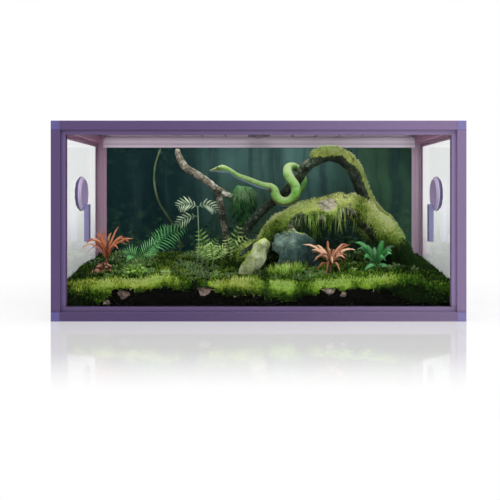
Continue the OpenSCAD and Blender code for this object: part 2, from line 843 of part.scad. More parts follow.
module moss_carpet() {
    color([0.30, 0.40, 0.10]) difference() {
        moss_grid(26, 11);
        for (f = feet) translate([f.x, f.y, soil_top - 1])
            cylinder(r = f[2] + pocket_fit, h = overall_h);
        stone_hollows();
    }
}

// ---- Rocks ----

module standing_stone(foot, top, seed) {
    translate([foot.x, foot.y, 0]) loft(stone_rings(foot[2], soil_top, top, seed));
}

module blue_boulder() {
    color([0.24, 0.30, 0.32]) standing_stone(boulder_foot, 248 * high_share, 40);
}

module red_rock() {
    color([0.42, 0.24, 0.18]) standing_stone(red_rock_foot, 148 * high_share, 110);
}

module front_stones() {
    color([0.44, 0.38, 0.34]) for (i = [0:len(glass_stones) - 1]) let (s = glass_stones[i])
        translate([s[0], stone_y(s), 0]) loft(stone_rings(s[1], s[2], s[3], 70 * i));
}

// A flat slab that leans against the root's left flank.
module leaning_slab() {
    path = smooth([for (step = [[0, 0, 0], [0, 0, 20], [0, 0, 44], [30, 16, 92], [62, 32, 136]])
        in_soil(slab_foot) + plant_share * step], 3);
    wide = smooth([0.8, 0.85, 0.9, 1.1, 0.5] * slab_foot[2], 3);
    thick = smooth([0.6, 0.65, 0.7, 0.6, 0.3] * slab_foot[2], 3);
    color([0.38, 0.34, 0.27]) loft(rings(path, wide, thick, [1, 0.6, 0], 10));
}

// ---- Root, branches and moss ----

// A thick root that rises from one foot, arches over a hollow and comes down at the other.
module mossy_root() {
    path = smooth(concat([in_soil(root_left_foot), over(root_left_foot, 106),
        over(root_left_foot, 150)],
        spots([[26, 36, 190], [72, 42, 240], [148, 46, 282], [226, 50, 308], [290, 50, 316],
            [348, 50, 292], [410, 50, 232]]),
        [over(root_right_foot, 150), over(root_right_foot, 106), in_soil(root_right_foot)]), 2);
    high = smooth(root_half_h * [0.72, 0.72, 0.78, 0.83, 0.92, 0.97, 1, 1, 0.97, 0.94, 0.83,
        0.78, 0.78], 2);
    deep = smooth(root_half_d * [0.59, 0.59, 0.62, 0.72, 0.86, 0.95, 1, 1, 0.95, 0.86, 0.66,
        0.62, 0.62], 2);
    color([0.36, 0.46, 0.14]) loft(rings(path, high, deep, [1, 0, 0], 12));
}

// The branch stands on both feet and arches over the root.
arch_route = concat([in_soil(arch_left_foot)],
    spots([[-80, 130, 120], [-80, 130, 170], [-31, 130, 261], [42, 125, 334], [90, 122, 372],
        [132, 120, 414], [162, 120, 459], [200, 120, 484], [245, 120, 498], [290, 124, 486],
        [322, 128, 452], [343, 134, 407], [366, 140, 352], [398, 150, 304], [450, 164, 258],
        [492, 175, 190], [492, 175, 120]]),
    [in_soil(arch_right_foot)]);
arch_taper = [0.66, 0.66, 0.66, 0.7, 0.75, 0.8, 0.85, 0.95, 1, 1, 1, 0.98, 0.95, 0.92, 0.88, 0.8,
    0.72, 0.7, 0.7];

module arched_branch() {
    radii = smooth(arch_taper * arch_r, 2);
    color([0.24, 0.20, 0.16])
        loft(rings(smooth(arch_route, 2), radii, radii, [1, 0, 0], 10));
}

// A forked branch: one stem in the ground, a long arm up to the left and a short one to the right.
driftwood_fork = [-148, 196, 380];
driftwood_short_arm = [driftwood_fork, [-121, 192, 366], [-82, 188, 350], [-36, 182, 330]];

module driftwood_branch() {
    stem = smooth([in_soil(driftwood_foot), over(driftwood_foot, 120), over(driftwood_foot, 190),
        spot([-128, 184, 280]), spot(driftwood_fork)], 3);
    long_arm = smooth(spots([driftwood_fork, [-197, 204, 419], [-241, 212, 446],
        [-271, 224, 466], [-288, 238, 500], [-298, 246, 526]]), 2);
    short_arm = smooth(spots(driftwood_short_arm), 3);
    stem_r = smooth([0.85, 0.85, 0.85, 0.8, 1] * driftwood_r, 3);
    long_r = smooth([1, 1, 0.95, 0.9, 0.8, 0.6] * driftwood_r, 2);
    short_r = smooth([1, 0.9, 0.8, 0.5] * driftwood_r, 3);
    color([0.46, 0.38, 0.32]) {
        chain(rings(stem, stem_r, stem_r, [1, 0, 0], 8));
        chain(rings(long_arm, long_r, long_r, [0, 1, 0], 8));
        chain(rings(short_arm, short_r, short_r, [0, 1, 0], 8));
    }
}

// A tuft that hangs against the front of the short arm.
module hanging_moss() {
    seat = [0, -driftwood_r - 7 * plant_share, 0];
    path = smooth([for (p = [[-52, 188, 392], [-56, 187, 350], [-46, 186, 300], [-52, 185, 250]])
        spot(p) + seat], 3);
    wide = smooth(plant_share * [26, 40, 30, 6], 3);
    thick = smooth(plant_share * [7, 9, 8, 3], 3);
    color([0.22, 0.34, 0.12]) loft(rings(path, wide, thick, [1, 0, 0], 8));
}

module liana() {
    path = smooth(concat([in_soil(liana_foot), over(liana_foot, 120), over(liana_foot, 180)],
        spots([[-300, 206, 240], [-334, 218, 292], [-359, 230, 329], [-374, 240, 369],
            [-382, 246, 416], [-379, 252, 470], [-361, 258, 531]])), 3);
    radii = [for (p = path) liana_r];
    color([0.42, 0.44, 0.20]) loft(rings(path, radii, radii, [1, 0, 0], 8));
}

// The snake: head, neck, one loop that lies against the front of the arched branch, and a tail
// that goes over it. The route is drawn with the loop this far in front of the branch's axis.
snake_route_reach = 44.4 * deep_share;
branch_at_loop = 0.85;
snake_seat = snake_route_reach - branch_at_loop * arch_r - snake_r;
snake_route = spots([[-165, 40, 444], [-142, 40, 449], [-120, 40, 451], [-97, 42, 444],
    [-73, 46, 428], [-37, 52, 414], [-2, 62, 400], [22, 70, 393], [40, 76, 390], [53, 79, 378],
    [58, 80, 361], [68, 81, 346], [88, 82, 339], [110, 80, 346], [125, 76, 367],
    [124, 76, 392], [110, 78, 414], [99, 88, 436], [102, 122, 457], [124, 158, 462],
    [148, 164, 444], [160, 162, 414], [150, 160, 380], [126, 160, 352]]);
snake_taper = [0.25, 0.62, 0.86, 0.6, 0.62, 0.7, 0.73, 0.75, 0.8, 0.88, 0.96, 1, 1, 1, 1, 1, 1, 1,
    0.92, 0.84, 0.7, 0.55, 0.4, 0.15];

module tree_snake() {
    radii = smooth(snake_taper * snake_r, 2);
    color([0.36, 0.62, 0.20])
        translate([0, snake_seat, 0])
            loft(rings(smooth(snake_route, 2), radii, radii, [0, 1, 0], 8));
}

// ---- Plants ----

// The round stem that stands in a plant's hole in the ground.
module plant_foot(foot, top) {
    translate([foot.x, foot.y, soil_top]) cylinder(r = foot[2], h = top - soil_top, $fn = 12);
}

// How far out on its way a leaf leaves the crown.
leaf_root = 0.07;

// Leaves that rise from one crown: each entry is a middle and a tip, counted from the crown.
module leaf_crown(crown, leaves, width) {
    for (l = leaves) let (middle = plant_share * l[0], tip = plant_share * l[1])
        leaf(crown + leaf_root * middle, crown + middle, crown + tip, width,
            cross(l[1], [0, 0, 1]) + [0, 0.01, 0]);
}

module palm_ferns() {
    right = over(palm_feet[0], 170);
    left = over(palm_feet[1], 152);
    color([0.16, 0.50, 0.18]) {
        plant_foot(palm_feet[0], right.z + leaf_t);
        plant_foot(palm_feet[1], left.z + leaf_t);
        frond(right, spot([-244, 0, 246]), palm_frond_w, 11, 58);
        frond(right, spot([-300, 60, 262]), palm_frond_w, 9, 40);
        frond(left, spot([-312, -34, 214]), palm_frond_w, 9, 62);
        frond(left, spot([-436, -40, 176]), 0.8 * palm_frond_w, 7, 60);
    }
}

module pale_fern() {
    top = over(pale_fern_foot, 322);
    stem_top = over(pale_fern_foot, 170).z;
    color([0.50, 0.62, 0.40]) {
        plant_foot(pale_fern_foot, stem_top);
        translate([top.x, top.y, stem_top - 5]) cylinder(r = 3 * plant_share,
            h = top.z - stem_top + 5, $fn = 12);
        frond(top, top + spot([-66, -14, 12]), pale_frond_w, 8, 50);
        frond(top, top + spot([68, 8, -6]), pale_frond_w, 8, -50);
        frond(top, top + spot([-52, -18, -34]), pale_frond_w, 8, 50);
        frond(top, top + spot([20, 20, 26]), pale_frond_w, 6, 20);
        frond(top, top + spot([-62, 20, -52]), 0.7 * pale_frond_w, 8, 50);
    }
}

module low_ferns() {
    crown = [for (f = low_fern_feet) over(f, 148)];
    color([0.46, 0.62, 0.22]) {
        for (i = [0:2]) plant_foot(low_fern_feet[i], crown[i].z + leaf_t);
        frond(crown[0], spot([-202, 24, 252]), low_frond_w, 9, 30);
        frond(crown[0], spot([-140, 36, 214]), low_frond_w, 8, -30);
        frond(crown[1], spot([-66, 60, 262]), low_frond_w, 9, -20);
        frond(crown[1], spot([-110, 56, 226]), low_frond_w, 8, 20);
        frond(crown[2], spot([-196, -30, 190]), low_frond_w, 8, 40);
        frond(crown[2], spot([-108, -26, 192]), low_frond_w, 8, -40);
    }
}

module strap_plant() {
    crown = over(strap_foot, 160);
    color([0.68, 0.26, 0.14]) {
        plant_foot(strap_foot, crown.z + 7.3 * plant_share);
        leaf_crown(crown, [[[-41, -15, 47], [-78, -27, 37]], [[-24, -8, 56], [-44, -22, 62]],
            [[-10, 2, 60], [-12, -10, 100]], [[14, 8, 64], [36, 6, 110]],
            [[24, -4, 50], [56, -12, 84]], [[38, 3, 50], [92, -4, 64]],
            [[-26, 14, 60], [-52, 30, 84]], [[22, 20, 50], [52, 40, 70]],
            [[4, -22, 50], [10, -48, 72]]], strap_leaf_w);
    }
}

module leafy_plant() {
    crown = over(leafy_foot, 116);
    color([0.44, 0.62, 0.20]) {
        plant_foot(leafy_foot, crown.z + 5.3 * plant_share);
        leaf_crown(crown, [for (i = [0:11]) let (a = 137.5 * i, s = 16 + 1.8 * i)
            [[s * cos(a), 0.7 * s * sin(a), 14 + 1.6 * i],
                [1.9 * s * cos(a), 1.3 * s * sin(a), 12 + 3 * i]]], small_leaf_w);
    }
}

module bromeliad() {
    crown = over(bromeliad_foot, 150);
    color([0.70, 0.32, 0.22]) {
        plant_foot(bromeliad_foot, crown.z + 5.3 * plant_share);
        leaf_crown(crown, [for (i = [0:10]) let (a = 137.5 * i, s = 24 + 1.2 * i)
            [[s * cos(a), s * sin(a), 22 + 2.4 * i],
                [2.3 * s * cos(a), 1.8 * s * sin(a), 6 + 6 * i]]], bromeliad_leaf_w);
    }
}

module broadleaf_plant() {
    crown = over(broadleaf_foot, 146);
    color([0.12, 0.36, 0.16]) {
        plant_foot(broadleaf_foot, crown.z + 5.3 * plant_share);
        leaf_crown(crown, [for (i = [0:9]) let (a = 137.5 * i + 20, s = 22 + 1.6 * i)
            [[s * cos(a), s * sin(a), 26 + 3 * i],
                [2 * s * cos(a), 1.6 * s * sin(a), 22 + 6 * i]]], broad_leaf_w);
    }
}

front_top_rail();
front_bottom_rail();
rear_top_rail();
rear_bottom_rail();
left_top_rail();
left_bottom_rail();
right_top_rail();
right_bottom_rail();
front_left_post();
front_right_post();
rear_left_post();
rear_right_post();
corner_connectors();
top_door_track();
bottom_door_track();
left_jamb();
right_jamb();
left_glass_door();
right_glass_door();
left_side_glass();
right_side_glass();
rear_board();
forest_picture();
base_panel();
left_mesh_lid();
right_mesh_lid();
lid_bar();
lid_screws();
left_port_flange();
right_port_flange();
left_port_nut();
right_port_nut();
left_port_washer();
right_port_washer();
left_dial();
right_dial();
left_lever();
right_lever();
soil_bed();
moss_carpet();
mossy_root();
blue_boulder();
leaning_slab();
red_rock();
front_stones();
arched_branch();
driftwood_branch();
hanging_moss();
liana();
palm_ferns();
pale_fern();
low_ferns();
strap_plant();
leafy_plant();
bromeliad();
broadleaf_plant();
tree_snake();
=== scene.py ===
"""Looks of a planted glass terrarium: anodised frame, sliding glass doors, mossy forest floor.

Lengths are metres. +X is right, +Y is back and +Z is up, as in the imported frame.
"""

import logging
import math
from collections.abc import Callable, Sequence
from dataclasses import dataclass, field
from enum import Enum
from typing import Any

import bpy
import numpy as np
from bpy.types import Material, Object
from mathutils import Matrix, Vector


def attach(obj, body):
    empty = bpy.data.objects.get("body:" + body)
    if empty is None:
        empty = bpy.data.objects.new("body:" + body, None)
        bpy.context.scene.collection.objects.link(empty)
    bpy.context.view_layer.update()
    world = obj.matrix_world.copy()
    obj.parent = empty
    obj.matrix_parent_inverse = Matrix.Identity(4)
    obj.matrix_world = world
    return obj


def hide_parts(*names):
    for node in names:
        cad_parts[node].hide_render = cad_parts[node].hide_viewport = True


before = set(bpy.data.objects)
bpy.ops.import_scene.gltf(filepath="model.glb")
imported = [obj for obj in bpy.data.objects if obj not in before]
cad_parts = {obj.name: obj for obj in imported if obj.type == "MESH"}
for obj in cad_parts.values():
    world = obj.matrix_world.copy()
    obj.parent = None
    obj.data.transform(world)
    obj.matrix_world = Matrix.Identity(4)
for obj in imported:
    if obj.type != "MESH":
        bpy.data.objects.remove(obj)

log = logging.getLogger("terrarium")
logging.basicConfig(level=logging.INFO, format="%(name)s: %(message)s")

MM = 0.001
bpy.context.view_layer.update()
# The least and greatest corners of the room between the glass, the picture and the lids.
INSIDE = ((-0.5918, -0.2674, 0.036), (0.5918, 0.2752, 0.560))
Array = np.ndarray
Colour = tuple[float, float, float]
Triple = tuple[float, float, float]


# ---- Numbers: smooth noise and smooth paths ----

# Where the middle of the scene lies among the cells of noise, so that none is below zero.
ORIGIN = 512.0


def lattice(cell: Array, seed: int) -> Array:
    """Hashes whole-number cells to values from 0 to 1.

    Args:
        cell: Whole numbers, one row of three per point.
        seed: Chooses one of many unrelated fields.

    Returns:
        One value per row.
    """
    c = cell.astype(np.uint64)
    h = c[..., 0] * np.uint64(374761393) + c[..., 1] * np.uint64(668265263)
    h = (h + c[..., 2] * np.uint64(2246822519) + np.uint64(seed * 3266489917 % 2**32)) % 2**32
    h = ((h ^ (h >> np.uint64(13))) * np.uint64(1274126177)) % 2**32
    h = ((h ^ (h >> np.uint64(16))) * np.uint64(2654435761)) % 2**32
    return ((h >> np.uint64(8)) & np.uint64(0xFFFF)) / 65535.0


def noise(points: Array, scale: float, seed: int, octaves: int = 3) -> Array:
    """Smooth noise from -1 to 1 at points.

    Args:
        points: Places in metres, one row of three each.
        scale: Cells per metre of the coarsest layer.
        seed: Chooses the field.
        octaves: Layers, each twice as fine and half as strong.

    Returns:
        One value per point.
    """
    out = np.zeros(len(points))
    norm = 0.0
    for k in range(octaves):
        p = points * scale * 2**k + ORIGIN + 17.3 * k
        low = np.floor(p)
        f = p - low
        f = f * f * (3 - 2 * f)
        layer = np.zeros(len(points))
        for corner in range(8):
            d = np.array([corner & 1, corner >> 1 & 1, corner >> 2 & 1])
            weight = np.prod(np.where(d, f, 1 - f), axis=1)
            layer += weight * lattice(low + d, seed + 31 * k)
        out += (2 * layer - 1) * 0.5**k
        norm += 0.5**k
    return out / norm


def domes(points: Array, scale: float, seed: int) -> Array:
    """Rounded cushions that meet in creases.

    Args:
        points: Places in metres, one row of three each.
        scale: Cushions per metre.
        seed: Chooses the field.

    Returns:
        From 0 in the creases to 1 on the tops, one value per point.
    """
    at = points * scale + ORIGIN
    cell = np.floor(at)
    nearest = np.full(len(at), 9.0)
    for k in range(27):
        here = cell + np.array([k % 3, k // 3 % 3, k // 9]) - 1
        middle = here + 0.5 + 0.8 * (np.stack([lattice(here, seed + j) for j in range(3)],
                                              axis=1) - 0.5)
        nearest = np.minimum(nearest, ((at - middle) ** 2).sum(axis=1))
    return np.sqrt(np.clip(1 - nearest / 0.95, 0, 1))


def climb(values: Array, low: float, width: float) -> Array:
    """From 0 at low to 1 a width further on; a width under zero goes the other way."""
    return np.clip((values - low) / width, 0, 1)


def bell(*terms: tuple[Array, float, float]) -> Array:
    """A smooth bump: 1 where each value is at its middle, and little a width away from one."""
    return np.exp(-sum(((value - middle) / width) ** 2 for value, middle, width in terms))


def smooth_path(points: Sequence[Sequence[float]], steps: int) -> Array:
    """A Catmull-Rom path through points, which may have any number of columns.

    Args:
        points: The points it goes through.
        steps: Pieces between one point and the next.

    Returns:
        The path's points, one row each.
    """
    p = np.array(points, float)
    if p.ndim == 1:
        p = p[:, None]
    ends = np.vstack([p[:1], p, p[-1:]])
    out = []
    for i in range(len(p) - 1):
        a, b, c, d = ends[i : i + 4]
        for t in np.arange(steps) / steps:
            out.append(0.5 * (2 * b + (c - a) * t + (2 * a - 5 * b + 4 * c - d) * t**2
                              + (3 * b - a - 3 * c + d) * t**3))
    out.append(p[-1])
    return np.array(out)


def sizes(values: Sequence[float], steps: int) -> Array:
    """Sizes along a smooth path with as many steps, from one for each of its points."""
    return smooth_path(values, steps)[:, 0]


def metres(points: Sequence[Sequence[float]]) -> Array:
    """Points given in millimetres, in metres."""
    return np.array(points, float) * MM


def unit(v: Array) -> Array:
    """The vectors in the last axis at length 1."""
    return v / np.maximum(np.linalg.norm(v, axis=-1, keepdims=True), 1e-12)


def path_frames(path: Array, start: Sequence[float]) -> tuple[Array, ...]:
    """Directions along and across a path, carried along without twisting.

    Args:
        path: The path's points.
        start: The side direction at its first point.

    Returns:
        Tangents, sides and the third directions, one row per point.
    """
    t = unit(np.gradient(path, axis=0))
    side = np.zeros_like(path)
    n = np.array(start, float)
    for i in range(len(path)):
        n = unit(n - t[i] * (n @ t[i]))
        side[i] = n
    return t, side, np.cross(t, side)


# ---- Meshes ----


def link(name: str, data: bpy.types.ID) -> Object:
    """A new object at the origin of the scene."""
    made = bpy.data.objects.new(name, data)
    bpy.context.scene.collection.objects.link(made)
    return made


def remove(*things: Object) -> None:
    """Takes helpers out of the scene."""
    for thing in things:
        bpy.data.objects.remove(thing)


def keep(piece: Object, **values: Array) -> None:
    """Stores per-point values on a piece: numbers, or vectors where there are three columns."""
    for name, value in values.items():
        kind, key = ("FLOAT", "value") if value.ndim == 1 else ("FLOAT_VECTOR", "vector")
        made = piece.data.attributes.new(name, kind, "POINT")
        made.data.foreach_set(key, value.astype(np.float32).ravel())


@dataclass
class Mesh:
    """Points, faces and per-point values of a mesh that is being put together."""

    points: Array = field(default_factory=lambda: np.zeros((0, 3)))
    faces: list[tuple[int, ...]] = field(default_factory=list)
    uv: Array = field(default_factory=lambda: np.zeros((0, 2)))
    tone: Array = field(default_factory=lambda: np.zeros(0))

    def add(self, other: "Mesh") -> None:
        """Adds another mesh to this one."""
        shift = len(self.points)
        self.points = np.vstack([self.points, other.points])
        self.faces += [tuple(i + shift for i in f) for f in other.faces]
        self.uv = np.vstack([self.uv, other.uv])
        self.tone = np.concatenate([self.tone, other.tone])

    def swell(self, height: Array) -> None:
        """Moves each point along its own normal by a height in metres."""
        self.points = self.points + self.normals() * height[:, None]

    def normals(self) -> Array:
        """Point normals, from the faces round each point."""
        out = np.zeros_like(self.points)
        for f in (np.array([f for f in self.faces if len(f) == k]) for k in (3, 4)):
            if len(f):
                p = self.points[f]
                n = np.cross(p[:, 2] - p[:, 0], p[:, -1] - p[:, 1]) if f.shape[1] == 4 else (
                    np.cross(p[:, 1] - p[:, 0], p[:, 2] - p[:, 0]))
                for k in range(f.shape[1]):
                    np.add.at(out, f[:, k], n)
        return unit(out)

    def helper(self, name: str, smooth: bool = True) -> Object:
        """Makes an object with a UV map but no finish or tone, shaded smooth or flat."""
        mesh = bpy.data.meshes.new(name)
        mesh.from_pydata(self.points.tolist(), [], self.faces)
        mesh.validate()
        corner = np.zeros(len(mesh.loops), np.int32)
        mesh.loops.foreach_get("vertex_index", corner)
        mesh.uv_layers.new(name="UVMap").data.foreach_set(
            "uv", self.uv[corner].astype(np.float32).ravel())
        mesh.polygons.foreach_set("use_smooth", np.full(len(mesh.polygons), smooth))
        return link(name, mesh)

    def build(self, name: str, material: Material, smooth: bool = True) -> Object:
        """Makes an object as helper does, with a finish and with the tone of each point."""
        made = self.helper(name, smooth)
        keep(made, tone=self.tone)
        made.data.materials.append(material)
        return made


def loft(rings: Array, tone: float = 0.5) -> Mesh:
    """A closed tube through rings, with a fan at each end.

    Args:
        rings: Points by ring, by place round the ring, by axis.
        tone: The tone of every point.

    Returns:
        The tube. U is the length along it in metres, and V runs round it from 0 to 1 and back.
    """
    count, around = rings.shape[:2]
    centres = rings.mean(axis=1)
    length = np.concatenate([[0], np.cumsum(np.linalg.norm(np.diff(centres, axis=0), axis=1))])
    v = np.abs(np.linspace(-1, 1, around, endpoint=False))
    uv = np.vstack([np.stack([np.repeat(length, around), np.tile(v, count)], axis=1),
                    [0, 0.5], [length[-1], 0.5]])
    here = np.arange(around)
    on = (here + 1) % around
    row = np.arange(count - 1)[:, None] * around
    quads = np.stack([row + here, row + on, row + around + on, row + around + here], axis=-1)
    faces = [tuple(quad) for quad in quads.reshape(-1, 4).tolist()]
    first, end = count * around, (count - 1) * around
    for k, n in zip(here.tolist(), on.tolist()):
        faces += [(first, n, k), (first + 1, end + k, end + n)]
    points = np.vstack([rings.reshape(-1, 3), centres[0], centres[-1]])
    return Mesh(points, faces, uv, np.full(len(points), tone))


def tube(path: Array, wide: Array, thick: Array, around: int,
         start: Sequence[float] = (1, 0, 0), tone: float = 0.5) -> Mesh:
    """An oval tube along a path.

    Args:
        path: The path's points in metres.
        wide: Half the width on the side direction, per point.
        thick: Half the thickness on the other direction, per point.
        around: Points round the tube.
        start: The side direction at the first point.
        tone: The tone of every point.

    Returns:
        The closed tube.
    """
    _, side, up = path_frames(path, start)
    a = np.linspace(0, 2 * math.pi, around, endpoint=False)
    rings = (path[:, None] + side[:, None] * np.cos(a)[None, :, None] * wide[:, None, None]
             + up[:, None] * np.sin(a)[None, :, None] * thick[:, None, None])
    return loft(rings, tone=tone)


# ---- Materials ----


def srgb(red: int, green: int, blue: int) -> Colour:
    """A colour given as it is seen, from 0 to 255, as the numbers that light is added up in."""
    return tuple((c / 255 / 12.92) if c <= 10 else ((c / 255 + 0.055) / 1.055) ** 2.4
                 for c in (red, green, blue))


def dimmed(colour: Colour, part: float) -> Colour:
    """A colour with part of its light."""
    return tuple(part * c for c in colour)


def operation(kind: str) -> Callable[..., "Value"]:
    """A method that adds a Math node of a kind, for a value and whatever it is given."""

    def method(value: "Value", *others: "Value | float") -> "Value":
        """The result of the node."""
        sockets = dict(enumerate((value, *others)))
        return value.nodes.node("ShaderNodeMath", {"operation": kind}, sockets)

    return method


class Value:
    """An output in a node tree, with the arithmetic that the finishes and plants use."""

    def __init__(self, nodes: "Nodes", socket: bpy.types.NodeSocket) -> None:
        """Wraps an output socket of a node in a tree."""
        self.nodes = nodes
        self.socket = socket

    # With another value or a number.
    __add__ = __radd__ = operation("ADD")
    __sub__ = operation("SUBTRACT")
    __mul__ = __rmul__ = operation("MULTIPLY")
    __pow__ = operation("POWER")
    # Of this alone, apart from most, which takes the greater of this and another.
    sine = operation("SINE")
    cosine = operation("COSINE")
    size = operation("ABSOLUTE")
    most = operation("MAXIMUM")

    def __rsub__(self, other: float) -> "Value":
        """A number minus this."""
        sockets = {0: other, 1: self}
        return self.nodes.node("ShaderNodeMath", {"operation": "SUBTRACT"}, sockets)

    def span(self, low: float, high: float) -> "Value":
        """From 0 where this is at low to 1 where it is at high, smoothly."""
        return self.nodes.node("ShaderNodeMapRange", {"interpolation_type": "SMOOTHSTEP"},
                               {0: self, 1: low, 2: high})


class Nodes:
    """A node tree that is being put together."""

    def __init__(self, tree: bpy.types.NodeTree) -> None:
        """Starts with an emptied tree."""
        self.tree = tree
        tree.nodes.clear()

    def add(self, kind: str, settings: dict[str, Any] | None = None,
            sockets: dict[int | str, Any] | None = None) -> bpy.types.Node:
        """Adds a node.

        Args:
            kind: The node's type.
            settings: Its own settings, set first; stops fills a colour ramp.
            sockets: Values or links of its inputs, by index or name; a list makes several links.

        Returns:
            The node.
        """
        made = self.tree.nodes.new(kind)
        for key, value in (settings or {}).items():
            if key == "stops":
                ramp = made.color_ramp
                while len(ramp.elements) < len(value):
                    ramp.elements.new(1.0)
                for element, (place, colour) in zip(ramp.elements, value):
                    element.position, element.color = place, (*colour, 1.0)
            else:
                setattr(made, key, value)
        for key, given in (sockets or {}).items():
            socket = made.inputs[key]
            for value in given if isinstance(given, list) else [given]:
                source = getattr(value, "socket", value)
                if isinstance(source, bpy.types.NodeSocket):
                    self.tree.links.new(source, socket)
                elif socket.type == "RGBA" and len(value) == 3:
                    socket.default_value = (*value, 1.0)
                else:
                    socket.default_value = value
        return made

    def node(self, kind: str, settings: dict[str, Any] | None = None,
             sockets: dict[int | str, Any] | None = None, out: int | str = 0) -> Value:
        """Adds a node as add does, and returns the output that is named or numbered."""
        return Value(self, self.add(kind, settings, sockets).outputs[out])


class Paint(Nodes):
    """Puts one material together."""

    def __init__(self, name: str) -> None:
        """Starts an empty material."""
        self.material = bpy.data.materials.new(name)
        self.material.use_nodes = True
        super().__init__(self.material.node_tree)

    def place(self, stretch: Triple = (1.0, 1.0, 1.0), turn: Triple = (0.0, 0.0, 0.0)) -> Value:
        """Object coordinates, stretched and turned."""
        where = self.node("ShaderNodeTexCoord", out="Object")
        return self.node("ShaderNodeMapping", sockets={0: where, 2: turn, 3: stretch})

    def on_surface(self, stretch: Triple = (1.0, 1.0, 1.0)) -> Value:
        """The piece's own UV map, stretched."""
        where = self.node("ShaderNodeTexCoord", out="UV")
        return self.node("ShaderNodeMapping", sockets={0: where, 3: stretch})

    def axis(self, where: Value, axis: int) -> Value:
        """One number of a vector."""
        return self.node("ShaderNodeSeparateXYZ", sockets={0: where}, out=axis)

    def facing(self) -> Value:
        """The way that the surface faces."""
        return self.node("ShaderNodeNewGeometry", out="Normal")

    def attribute(self, name: str, out: str = "Fac") -> Value:
        """A per-point value of the mesh."""
        return self.node("ShaderNodeAttribute", {"attribute_name": name}, out=out)

    def noise(self, where: Value, scale: float, detail: float = 3.0, rough: float = 0.55,
              bend: float = 0.0) -> Value:
        """Noise from 0 to 1."""
        return self.node("ShaderNodeTexNoise", sockets={
            "Vector": where, "Scale": scale, "Detail": detail, "Roughness": rough,
            "Distortion": bend})

    def cells(self, where: Value, scale: float, feature: str = "F1",
              out: str = "Distance") -> Value:
        """Voronoi cells."""
        return self.node("ShaderNodeTexVoronoi", {"feature": feature},
                         {"Vector": where, "Scale": scale}, out)

    def ramp(self, value: Value, *stops: tuple[float, Colour]) -> Value:
        """A colour for each value, between stops."""
        return self.node("ShaderNodeValToRGB", {"stops": stops}, {0: value})

    def mix(self, a: Value | Colour, b: Value | Colour, factor: Value | float,
            blend: str = "MIX") -> Value:
        """A mix of two colours."""
        return self.node("ShaderNodeMix", {"data_type": "RGBA", "blend_type": blend},
                         {0: factor, 6: a, 7: b}, 2)

    def bump(self, height: Value, depth: float) -> Value:
        """A normal for a height from 0 to 1 that stands for a depth in metres."""
        return self.node("ShaderNodeBump", sockets={"Height": height, "Distance": depth})

    def shader(self, colour: Value, roughness: Value, normal: Value, gloss: float = 0.5,
               metallic: float = 0.0, coat: float = 0.0) -> Value:
        """The main shader."""
        return self.node("ShaderNodeBsdfPrincipled", sockets={
            "Base Color": colour, "Roughness": roughness, "Normal": normal,
            "Specular IOR Level": gloss, "Metallic": metallic, "Coat Weight": coat})

    def show(self, surface: Value) -> Material:
        """Ends the material with a surface and returns it."""
        self.add("ShaderNodeOutputMaterial", sockets={"Surface": surface})
        return self.material


class Finish:
    """How a piece looks."""

    def make(self, name: str) -> Material:
        """The finished material."""
        p = Paint(name)
        return p.show(self.surface(p))

    def surface(self, p: Paint) -> Value:
        """The material's shader, which each finish lays out."""
        raise NotImplementedError


@dataclass(frozen=True)
class Anodised(Finish):
    """Satin anodised aluminium, with painted light paler to the right of its left colour.

    Each painted shade line, in a step of the profile or on a low face, is an axis, a place on
    it, half its width in metres and what is left of the light.
    """

    colour: Colour
    left: Colour | None = None
    roughness: float = 0.42
    metallic: float = 0.25
    shade_lines: tuple[tuple[int, float, float, float], ...] = ()
    outside: Colour | None = None

    def surface(self, p: Paint) -> Value:
        """The shader: painted shade to -X where left is given, another colour on what faces out."""
        where = p.place()
        cloud = p.noise(where, 5.0, 2.0)
        fine = p.noise(where, 900.0, 2.0)
        base = p.mix(dimmed(self.colour, 0.93), self.colour, cloud)
        if self.left is not None:
            # Painted light: from the darker left colour at -X to a paler colour to the right.
            across = p.axis(where, 0).span(-0.35, 0.75)
            base = p.mix(p.mix(dimmed(self.left, 0.94), self.left, cloud), base, across)
        # Painted shade along each line.
        for axis, at, half, kept in self.shade_lines:
            line = 1 - (p.axis(where, axis) - at).size().span(half * 0.7, half * 1.1)
            base = p.mix(base, (kept, kept, kept), line, "MULTIPLY")
        if self.outside is not None:
            facing = p.facing()
            level = p.axis(where, 2) - 0.29
            out = (p.axis(facing, 0) * p.axis(where, 0) * 1.7
                   + p.axis(facing, 1) * p.axis(where, 1) * 3.4 + p.axis(facing, 2) * level * 3.5)
            base = p.mix(base, self.outside, out.span(0.2, 0.4))
        return p.shader(base, self.roughness + 0.10 * cloud + 0.06 * fine,
                        p.bump(fine, 0.00003), 0.3, self.metallic)


@dataclass(frozen=True)
class Moulded(Finish):
    """Moulded plastic or powder coat with a fine even texture."""

    colour: Colour
    roughness: float = 0.45
    grain: float = 1400.0
    depth: float = 0.00004
    hub: tuple[float, float] | None = None
    crease: float = 0.0455

    def surface(self, p: Paint) -> Value:
        """The shader, with painted shade in a dish round the hub's Y and Z, more along its crease.
        """
        where = p.place()
        cloud = p.noise(where, 12.0, 3.0)
        fine = p.noise(where, self.grain, 2.0)
        base = p.mix(dimmed(self.colour, 0.90), self.colour, cloud)
        if self.hub is not None:
            dy, dz = p.axis(where, 1) - self.hub[0], p.axis(where, 2) - self.hub[1]
            away = (dy * dy + dz * dz) * (0.5 / self.crease) - self.crease * 0.5
            dish = 1 - away.span(-0.001, 0.001)
            line = 1 - away.size().span(0.0008, 0.0030)
            # Painted shade in the dish, and darker painted shade along the crease at its edge.
            base = p.mix(base, (0.88, 0.78, 0.93), dish, "MULTIPLY")
            base = p.mix(base, (0.62, 0.60, 0.70), line, "MULTIPLY")
        return p.shader(base, self.roughness + 0.12 * (fine - 0.5) + 0.05 * cloud,
                        p.bump(fine, self.depth))


